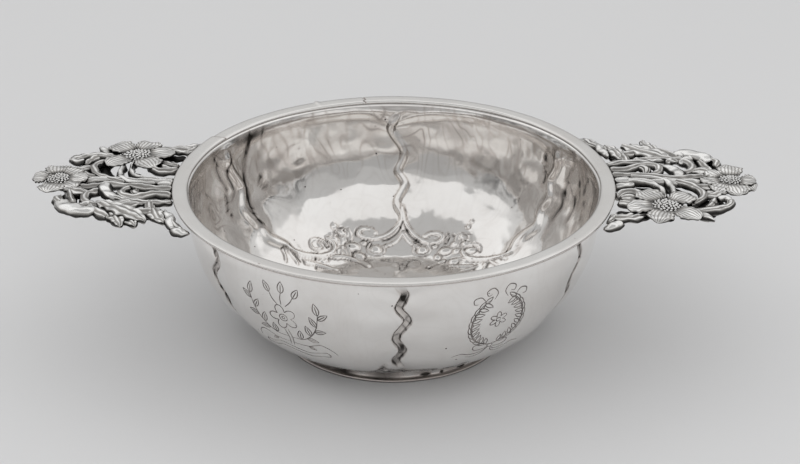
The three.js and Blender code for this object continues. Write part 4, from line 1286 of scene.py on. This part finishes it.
# How stems, sprigs, tongues and leaves are shaped
STEM = dict(thick=1.4, grow=0.95, tip=0.85, midrib=0.4, sides=22)
FLUTED = dict(thick=1.4, grow=0.9, tip=0.7, lines=2, line_depth=0.2, line_dark=0.5, sides=24)
SPRIG = dict(thick=1.0, grow=0.8, tip=0.35, lines=2, line_depth=0.3, sides=22)
BROAD = dict(thick=1.0, grow=0.5, tip=0.6, midrib=0.25, lines=3, line_depth=0.14, line_dark=0.6, sides=24)
TONGUE = dict(thick=0.8, grow=0.75, tip=0.5, curl=-0.15)
LEAF = dict(thick=0.85, grow=0.5, tip=0.3, midrib=0.3, lines=3, line_depth=0.1, line_dark=0.5, scallops=4,
            scallop=0.07, ruffle=0.26, curl=0.14, rows=54, sides=40)
# Each casting piece: plan points from the rim outwards with a height, half width, and its shape
CASTING = [
    ([(69.6, 0.6, 0), (78, 0.2, 0.1), (88, -0.9, 0.2), (96, -0.8, 0.2), (103, -0.4, 0)], 1.6, STEM),
    ([(69.2, 5.4, 0), (76, 4.6, 0.1), (85, 3.1, 0.2), (90, 2.2, 0.2), (95, 3.5, 0.1), (100, 4, 0)],
     1.6, FLUTED),
    ([(75, 2.6, 0.5), (83, 1.5, 0.8), (86, -1, 0.9), (87.6, -6, 0.7), (87, -12, 0.3)], 0.95, STEM),
    ([(74, 0, 0.3), (80, -1.5, 0.5), (83, -4, 0.6), (84.5, -9, 0.5), (84, -14, 0)], 0.85, STEM),
    ([(85, 1.5, 0.5), (90, -1, 0.7), (94, -4, 0.8), (96.5, -9, 0.7), (96, -13, 0.5), (92.5, -15.5, 0.1)],
     1.35, FLUTED),
    ([(69.6, -10.6, -0.2), (71.6, -8.4, 0.1), (75, -7.9, 0.4), (77.8, -10.4, 0.4), (78.4, -14.6, 0)],
     1.5, FLUTED),
    ([(70.6, -10.6, -0.4), (74, -10.8, 0), (77, -14, 0)], 2.0, BROAD),
    ([(69.6, -13.4, -0.5), (73.5, -15, -0.2), (79, -18, -0.2)], 2.3, dict(BROAD, grow=0.45)),
    ([(65.6, -24.4, -0.3), (71, -25.4, 0.1), (76, -24, 0.1), (81, -21, 0)], 2.6,
     dict(LEAF, grow=0.7, peak=0.4)),
    ([(68.4, -23, -0.2), (66.8, -25.8, -0.1), (65, -28.4, -0.3)], 1.3, SPRIG),
    ([(69.6, -27, -0.3), (67, -29.4, -0.2), (63.6, -31.4, -0.3)], 1.7, TONGUE),
    ([(88, -20.4, -0.1), (94, -20.8, 0), (99.6, -19.8, 0.2), (103.6, -17.6, 0.6), (104.3, -14.6, 1.0)],
     1.5, dict(SPRIG, thick=1.1, tip=0.8, curl=0.2, line_depth=0.2, line_dark=0.7)),
    ([(104.4, -15.6, 0.9), (102.6, -13.6, 1.3), (100.6, -14.8, 0.9)], 1.1, STEM),
    ([(89, -21, -0.1), (94, -23.6, 0), (97.4, -27.4, 0.2)], 1.8,
     dict(thick=0.8, grow=0.8, tip=0.12, curl=0.2, midrib=0.25, sides=20)),
    ([(96.6, -19.4, 0.1), (98.4, -16.4, 0.2), (100, -13, 0)], 1.4, FLUTED),
    ([(68.6, 13.5, -0.1), (74, 15.2, 0.2), (80, 14.4, 0.4), (87.4, 11.4, 0.4)], 1.55,
     dict(SPRIG, grow=0.7, tip=0.6, line_depth=0.22, curl=0.15)),
    ([(86.6, 12.6, 0.5), (89.5, 9, 0.9), (91, 5, 1.05), (90.5, 1.8, 0.9)], 2.2,
     dict(SPRIG, thick=0.55, grow=0.95, tip=0.95, lines=1, line_depth=0.12)),
    ([(69, 9.6, -0.1), (74.5, 8.9, 0.2), (78, 11, 0.6), (81.5, 12.2, 0.8), (84.6, 10.6, 0.9), (85, 7.5, 0.7),
      (83, 5.2, 0.2)], 1.6, FLUTED),
    ([(79, 11, 0.4), (81, 8.5, 0.7), (80.8, 5.6, 0.4)], 1.3,
     dict(SPRIG, thick=0.9, tip=0.5, line_depth=0.25)),
    ([(92, 6, 0), (95.6, 8.6, 0.1), (96.2, 12, 0.2), (94.6, 15.4, 0.2), (91.2, 16.8, 0.1), (88, 14.6, 0)],
     1.5, FLUTED),
    ([(92.4, 15, 0.4), (88.8, 17.4, 0.6), (84.6, 20.4, 0.7), (80, 24, 0.6), (75.4, 28.2, 0.2)], 3.6,
     dict(LEAF, grow=0.3, peak=0.6, midrib=0.45, scallops=5, ruffle=0.3, rows=70)),
    ([(76, 15.2, -0.1), (82, 16.6, 0.3), (87, 16.9, 0.3), (91, 15.8, 0.1)], 2.4, dict(LEAF, grow=0.3)),
    ([(88.6, 20.6, -0.2), (85.2, 25, 0.1), (83, 29.4, 0.3), (82.5, 32, 0.3)], 2.4,
     dict(LEAF, grow=0.6, tip=0.2, peak=0.45, curl=0.2)),
    ([(82.6, 23.8, -0.4), (80, 27.4, -0.2), (78, 30.2, -0.1)], 2.1, dict(LEAF, grow=0.7, scallops=2)),
    ([(94, 17, -0.2), (90.6, 21.4, 0), (86.4, 25.2, 0.1)], 1.7, FLUTED),
    ([(102.6, 16.4, 0.3), (104.4, 13.8, 0.5), (103.6, 10.8, 0.2)], 1.35, FLUTED),
    ([(99, 16, 0), (100.8, 10.4, 0.2), (102.4, 5, 0)], 1.3, FLUTED),
    ([(92.4, 14.8, -0.1), (95, 16.6, 0), (97.6, 18.6, 0)], 1.7, STEM),
    ([(66.4, 32.6, -0.2), (67.6, 28.4, 0), (68.6, 24.2, 0.1), (70.6, 20.4, 0)], 1.6,
     dict(thick=0.95, grow=0.5, tip=0.5, midrib=0.2, rows=40, sides=20)),
    ([(69.4, 28.6, -0.2), (71.8, 25.4, 0.1), (73.4, 21.8, 0.2), (74.8, 17.2, 0)], 2.5, dict(LEAF, grow=0.3)),
    ([(73.6, 21, -0.1), (77, 21.6, 0.1), (80.4, 22.4, 0)], 1.9, FLUTED),
    ([(74.6, 21, 0), (75.4, 17.6, 0.1), (75.8, 14.4, 0)], 1.5, FLUTED),
    ([(68, 26, -0.2), (66, 30.4, -0.1), (63, 34.6, -0.3)], 1.5,
     dict(SPRIG, thick=0.95, grow=0.7, tip=0.4, line_depth=0.25)),
    ([(66.6, 30.4, -0.4), (64.4, 33.2, -0.3), (61.6, 35.4, -0.4)], 2.0, dict(TONGUE, thick=0.75, grow=0.7)),
    ([(69.6, 1.3, 0), (72.4, 1.3, 0.3), (75.2, 0.9, 0.5)], 2.1, dict(thick=1.0, grow=0.95, tip=0.7)),
    ([(69.4, -2.4, -0.3), (72.6, -2, -0.1), (76.4, -1.4, 0)], 1.2, dict(thick=1.0, grow=0.95, tip=0.5)),
    ([(95.4, 8.4, 0.1), (99.6, 7.2, 0.6), (103.4, 5.2, 0.3)], 2.5, dict(LEAF, scallops=2)),
    ([(94.6, -3.4, 0.2), (98.8, -4.2, 0.6), (103.6, -3.4, 0.3)], 2.4, dict(LEAF, scallops=2)),
    ([(95, -9.6, 0), (99, -9.8, 0.4), (103.4, -7.4, 0.2)], 2.3, dict(LEAF, scallops=2)),
]
# The rolled bud on the right-hand handle's far side: its path and radius
BUD = ([(92.6, 18.8, 0.1), (94.2, 21, 0.2), (98, 20.2, 0.3), (101.8, 17.4, 0.2), (102.8, 14.2, 0)], 3.0)
# Low stems that tie the others together and lie in their shadow, painted dark all over as that shade: plan
# points and half width
UNDER_STEMS = [
    ([(69.6, 7.4), (75, 7.4), (80, 8.4)], 1.5), ([(69.6, 12), (75, 13.4), (82, 13)], 1.5),
    ([(76, -2.6), (81, -4.6), (83, -9)], 1.5), ([(85, -2), (90, -5), (93, -10), (93, -15)], 1.8),
    ([(91, -14), (97, -13.6), (103, -12)], 2.4), ([(77, 19), (83, 20), (90, 18.4)], 1.6),
    ([(92, 17.6), (98, 16.4), (102, 13.4)], 1.6), ([(86, 23.4), (92, 19.6)], 1.6),
    ([(70.6, 22), (77, 21.4)], 2.2), ([(69.4, -13), (74, -13.4), (78, -15)], 1.8),
    ([(68, -20.4), (74, -21), (80, -20)], 2.6), ([(97, -4), (101, -6.4), (104, -8)], 2.4),
    ([(86, 1), (92, 1.2), (98, 2)], 1.5), ([(97, 6.6), (101, 8), (104, 7)], 2.4),
    ([(88, -22), (94, -21.6), (99, -19)], 2.2),
]


def hand_worked(body, seed):
    """A cast body made slightly uneven: each point is moved by waves of a few millimetres' length in
    random directions, then eased below the ceiling."""
    points, quads, triangles, dark = body
    reach = (0.26, 0.26, 0.42)
    count = 14
    rng = np.random.default_rng(seed)
    moved = np.zeros(points.shape)
    for _ in range(count):
        number = unit(rng.normal(size=3)) * TURN / rng.uniform(2.4, 6.5)
        moved += unit(rng.normal(size=3)) * np.cos(points @ number + rng.uniform(0, TURN))[:, None]
    points = points + moved * reach / math.sqrt(count)
    points[:, 2] = under_ceiling(points[:, 2])
    return points, quads, triangles, dark


def casting():
    """Every stem, leaf and bud of the right-hand handle, as one set of closed bodies."""
    bodies = [blade(raised_path(points), width, **form) for points, width, form in CASTING]
    bodies.append(open_bud(raised_path(BUD[0]), BUD[1]))
    # The low stems are painted dark all over: painted shade under the others
    shape = dict(thick=0.8, grow=0.8, tip=0.8, rows=16, sides=12, skirt=0, under=0.5, shade=1.0)
    drop = -1.1
    for points, width in UNDER_STEMS:
        bodies.append(blade(raised_path([(x, y, drop) for x, y in points]), width, **shape))
    return hand_worked(joined(bodies), 61)


FLOWER_LEVEL = 51.95
GOLDEN_ANGLE = 2.39996
# Each petal is painted with shade at its root, under the boss
PETAL = dict(thick=0.95, grow=0.42, tip=0.72, peak=0.62, curl=0.16, line_depth=0.09, line_dark=0.36, rows=40,
             sides=64, skirt=0.1, under=0.8, root_shade=1.0, scallops=4.5, scallop=0.05, ruffle=0.3)


def petal(angle, length, half_width, lift, droop, lines):
    """One petal from the flower's middle: a blade that widens outwards, ribbed along, whose height first
    rises and then falls by droop as the square of the way out."""
    out = np.linspace(2.8, length, 5)
    way = (out - out[0]) / (out[-1] - out[0])
    path = np.stack([
        out * math.cos(angle), out * math.sin(angle),
        FLOWER_LEVEL + lift * np.sin(way * 1.9) - droop * way**2,
    ], -1)
    return blade(path, half_width, lines=lines, **PETAL)


def ball_rings(polar, around):
    """Rings of points on a ball of radius 1, a ring for each angle from the top."""
    polar = polar[:, None]
    turns = np.arange(around)[None, :] * TURN / around
    return round_points(np.sin(polar), turns, np.cos(polar))


def bead(centre, radius):
    """A small ball of five rings of eight points, painted light on top, where it takes off the occlusion's
    darkening, and painted shade below.
    """
    rings = ball_rings(np.linspace(0.25, math.pi - 0.25, 5), 8)
    # Painted light on the top half, below zero, and painted shade on the bottom half
    dark = 1.4 * smooth_step(-rings[..., 2], -0.2, 0.4) - 0.8
    return wound_body(rings * radius + centre, dark)


def flower(petals, boss_radius, stamens, grain):
    """A flower head about its own middle: petals as (degrees, length, half width, lift, droop, lines), a
    domed boss covered with beads of radius grain laid out by the golden angle, and a ring of stamen beads
    round it."""
    boss_height = 1.1
    base = FLOWER_LEVEL - 0.05
    bodies = [petal(math.radians(angle), *shape) for angle, *shape in petals]
    dome = ball_rings(np.linspace(0.05, math.pi / 2, 9), 36) * (boss_radius, boss_radius, boss_height)
    dome = dome + (0, 0, base)
    foot = dome[-1:] * (0.8, 0.8, 1) - (0, 0, 0.6)
    # The dome under the beads is painted dark all over: the shade between the beads
    bodies.append(wound_body(np.concatenate([dome, foot]), np.ones((10, 36))))
    count = 52
    spread = 0.97
    number = np.arange(count) + 0.5
    out = np.sqrt(number / count)
    tall = boss_height * np.sqrt(np.clip(1 - (out * spread) ** 2, 0, 1))
    for r, a, h in zip(out * boss_radius * spread, number * GOLDEN_ANGLE, tall):
        bodies.append(bead((r * math.cos(a), r * math.sin(a), base + h), grain))
    for i in range(stamens):
        a = TURN * (i + 0.3 * math.sin(i * 2.3)) / stamens
        r = boss_radius * (1.16 + 0.07 * math.cos(i * 1.7))
        bodies.append(bead((r * math.cos(a), r * math.sin(a), base + 0.25), 0.5))
    return joined(bodies)


TIP_PETALS = [
    (-6, 8.1, 4.1, 0.7, 0.3, 7), (83, 10.6, 4.2, 0.8, 0.0, 7), (130, 9.8, 3.7, 0.5, 0.5, 6),
    (185, 9.8, 3.5, 0.5, 0.3, 6), (236, 10.2, 3.6, 0.5, 0.7, 6), (278, 10.6, 4.0, 0.7, 0.6, 7),
    (322, 8.8, 3.4, 0.3, 0.9, 6),
]
SIDE_PETALS = [
    (43, 12.0, 4.3, 0.6, 0.3, 7), (122, 12.2, 4.5, 0.7, 0.2, 7), (186, 12.2, 4.4, 0.5, 0.3, 6),
    (250, 11.6, 4.3, 0.6, 0.7, 7), (316, 12.6, 4.4, 0.5, 0.5, 7),
]
tip_flower = hand_worked(turned(flower(TIP_PETALS, 3.9, 22, 0.46), 0, (106.6, -0.6, 0)), 62)
side_flower = hand_worked(turned(flower(SIDE_PETALS, 4.6, 28, 0.54), 0, (83.7, -19.1, 0)), 63)
right_casting = casting()
for side, angle in (("right", 0.0), ("left", math.pi)):
    for stem, body, node in (
        ("casting_openwork", right_casting, "handle_casting"),
        ("tip_flower_head", tip_flower, "tip_flower"),
        ("side_flower_head", side_flower, "side_flower"),
    ):
        put_mesh(f"{stem}_{side}", turned(body, angle), CAST_SILVER, [f"{node}_{side}"])


# The setting: floor, lights and camera


FLOOR_COLOUR = (0.6, 0.6, 0.603, 1)
FLOOR_ROUGHNESS = 0.9


def plain_floor():
    """A wide pale floor, flat and in one piece."""
    reach = 6.0
    corners = [(-reach, -reach, 0), (reach, -reach, 0), (reach, reach, 0), (-reach, reach, 0)]
    mesh = bpy.data.meshes.new("studio_floor")
    mesh.from_pydata(corners, [], [(0, 1, 2, 3)])
    material = bpy.data.materials.new("studio_paper")
    material.use_nodes = True
    shader = material.node_tree.nodes["Principled BSDF"]
    shader.inputs["Base Color"].default_value = FLOOR_COLOUR
    shader.inputs["Roughness"].default_value = FLOOR_ROUGHNESS
    shader.inputs["Specular IOR Level"].default_value = 0.1
    mesh.materials.append(material)
    floor = bpy.data.objects.new("studio_floor", mesh)
    bpy.context.scene.collection.objects.link(floor)


def soft_light(name, place, target, size, power):
    """A large area light at place, turned to target, in metres and watts. Silver doesn't mirror it: the
    room's own tones give the reflections, and the light only fills the shadows on the floor."""
    lamp = bpy.data.lights.new(name, "AREA")
    lamp.shape = "RECTANGLE"
    lamp.size, lamp.size_y = size
    lamp.energy = power
    light = bpy.data.objects.new(name, lamp)
    bpy.context.scene.collection.objects.link(light)
    light.location = place
    light.rotation_euler = (Vector(target) - Vector(place)).to_track_quat("-Z", "Y").to_euler()
    light.visible_glossy = False


# The room's grey levels by direction, which the silver mirrors, and the heights between which they change
ROOM_FRONT_BANDS = (0.92, 0.42, 0.5, 0.87)
ROOM_FRONT_EDGES = ((0.2, 0.23), (0.44, 0.46), (0.63, 0.642))
ROOM_BACK_BANDS = (0.36, 0.66, 0.93)
ROOM_BACK_EDGES = ((0.17, 0.33), (0.5, 0.6))
ROOM_CEILING = 0.5
ROOM_CEILING_EDGE = (0.97, 0.99)
ROOM_SIDES = (0.1, 0.62)
# How far the front's edges waver, and how far they sink towards the left
ROOM_WAVER = 0.16
ROOM_LEAN = 0.12


def ramp(tree, value, low, high):
    """A smooth step from 0 at low to 1 at high."""
    node = tree.nodes.new("ShaderNodeMapRange")
    node.interpolation_type = "SMOOTHSTEP"
    node.inputs["From Min"].default_value = low
    node.inputs["From Max"].default_value = high
    tree.links.new(value, node.inputs["Value"])
    return node.outputs[0]


def blend(tree, share, a, b):
    """A grey level between a and b, each a number or an output."""
    node = tree.nodes.new("ShaderNodeMix")
    for number, value in ((0, share), (2, a), (3, b)):
        feed(tree, node.inputs[number], value)
    return node.outputs[0]


def banded(tree, height, bands, edges):
    """Bands of grey one above the other. Each begins between its edge's two heights."""
    level = bands[0]
    for edge, band in zip(edges, bands[1:]):
        level = blend(tree, ramp(tree, height, *edge), level, band)
    return level


def soft_room():
    """The world: a smooth grey room. Its front has four bands with uneven edges, pale at the horizon, dark,
    a little paler, and pale high up. Its back goes from dark at the horizon to pale above. The ceiling is
    darker, and the sides low down are patched dark and pale."""
    world = bpy.data.worlds.new("studio_room")
    bpy.context.scene.world = world
    world.use_nodes = True
    tree = world.node_tree
    heading = tree.nodes.new("ShaderNodeTexCoord").outputs["Generated"]
    parts = tree.nodes.new("ShaderNodeSeparateXYZ")
    tree.links.new(heading, parts.inputs[0])
    x, y, z = parts.outputs
    unevenness = noise_node(tree, heading, 2.6, detail=6.0, roughness=0.6)
    patches = noise_node(tree, heading, 7.0, detail=3.0, roughness=0.5, twist=1.5)
    lifted = math_node(tree, "MULTIPLY_ADD", unevenness, ROOM_WAVER, z)
    leftwards = math_node(tree, "MULTIPLY", x, -1.0, clamp=True)
    lifted = math_node(tree, "MULTIPLY_ADD", leftwards, ROOM_LEAN, lifted)
    front = banded(tree, lifted, ROOM_FRONT_BANDS, ROOM_FRONT_EDGES)
    back = banded(tree, z, ROOM_BACK_BANDS, ROOM_BACK_EDGES)
    level = blend(tree, ramp(tree, y, -0.25, 0.1), front, back)
    level = blend(tree, ramp(tree, lifted, *ROOM_CEILING_EDGE), level, ROOM_CEILING)
    sideways = ramp(tree, math_node(tree, "ABSOLUTE", x), 0.66, 0.9)
    low_down = math_node(tree, "SUBTRACT", 1.0, ramp(tree, z, 0.25, 0.5))
    aside = math_node(tree, "MULTIPLY", sideways, low_down)
    patched = blend(tree, ramp(tree, patches, 0.46, 0.56), *ROOM_SIDES)
    level = blend(tree, aside, level, patched)
    tree.links.new(level, tree.nodes["Background"].inputs["Color"])


plain_floor()
soft_room()
soft_light("softbox_over", place=(-0.1, 0.2, 1.6), target=(0, 0.05, 0.03), size=(3.6, 3.2), power=16.2)
soft_light("softbox_front", place=(0.2, -1.3, 0.8), target=(0, 0, 0), size=(1.6, 1.0), power=7.2)

# The camera: its distance from the aim, its angle down, the aim in metres, and its focal length in pixels
CAMERA_DISTANCE = 0.560
CAMERA_DROP = math.radians(26.7)
AIM = (0.00196, 0.0, 0.0338)
FOCAL_PIXELS = 1740
PICTURE_WIDTH = 800
SENSOR_WIDTH = 36.0
camera_data = bpy.data.cameras.new("camera")
camera_data.sensor_width = SENSOR_WIDTH
camera_data.lens = FOCAL_PIXELS * SENSOR_WIDTH / PICTURE_WIDTH
camera = bpy.data.objects.new("camera", camera_data)
bpy.context.scene.collection.objects.link(camera)
camera.location = (
    AIM[0],
    AIM[1] - CAMERA_DISTANCE * math.cos(CAMERA_DROP),
    AIM[2] + CAMERA_DISTANCE * math.sin(CAMERA_DROP),
)
camera.rotation_euler = (math.pi / 2 - CAMERA_DROP, 0, 0)
bpy.context.scene.camera = camera
bpy.context.scene.view_settings.view_transform = "Standard"
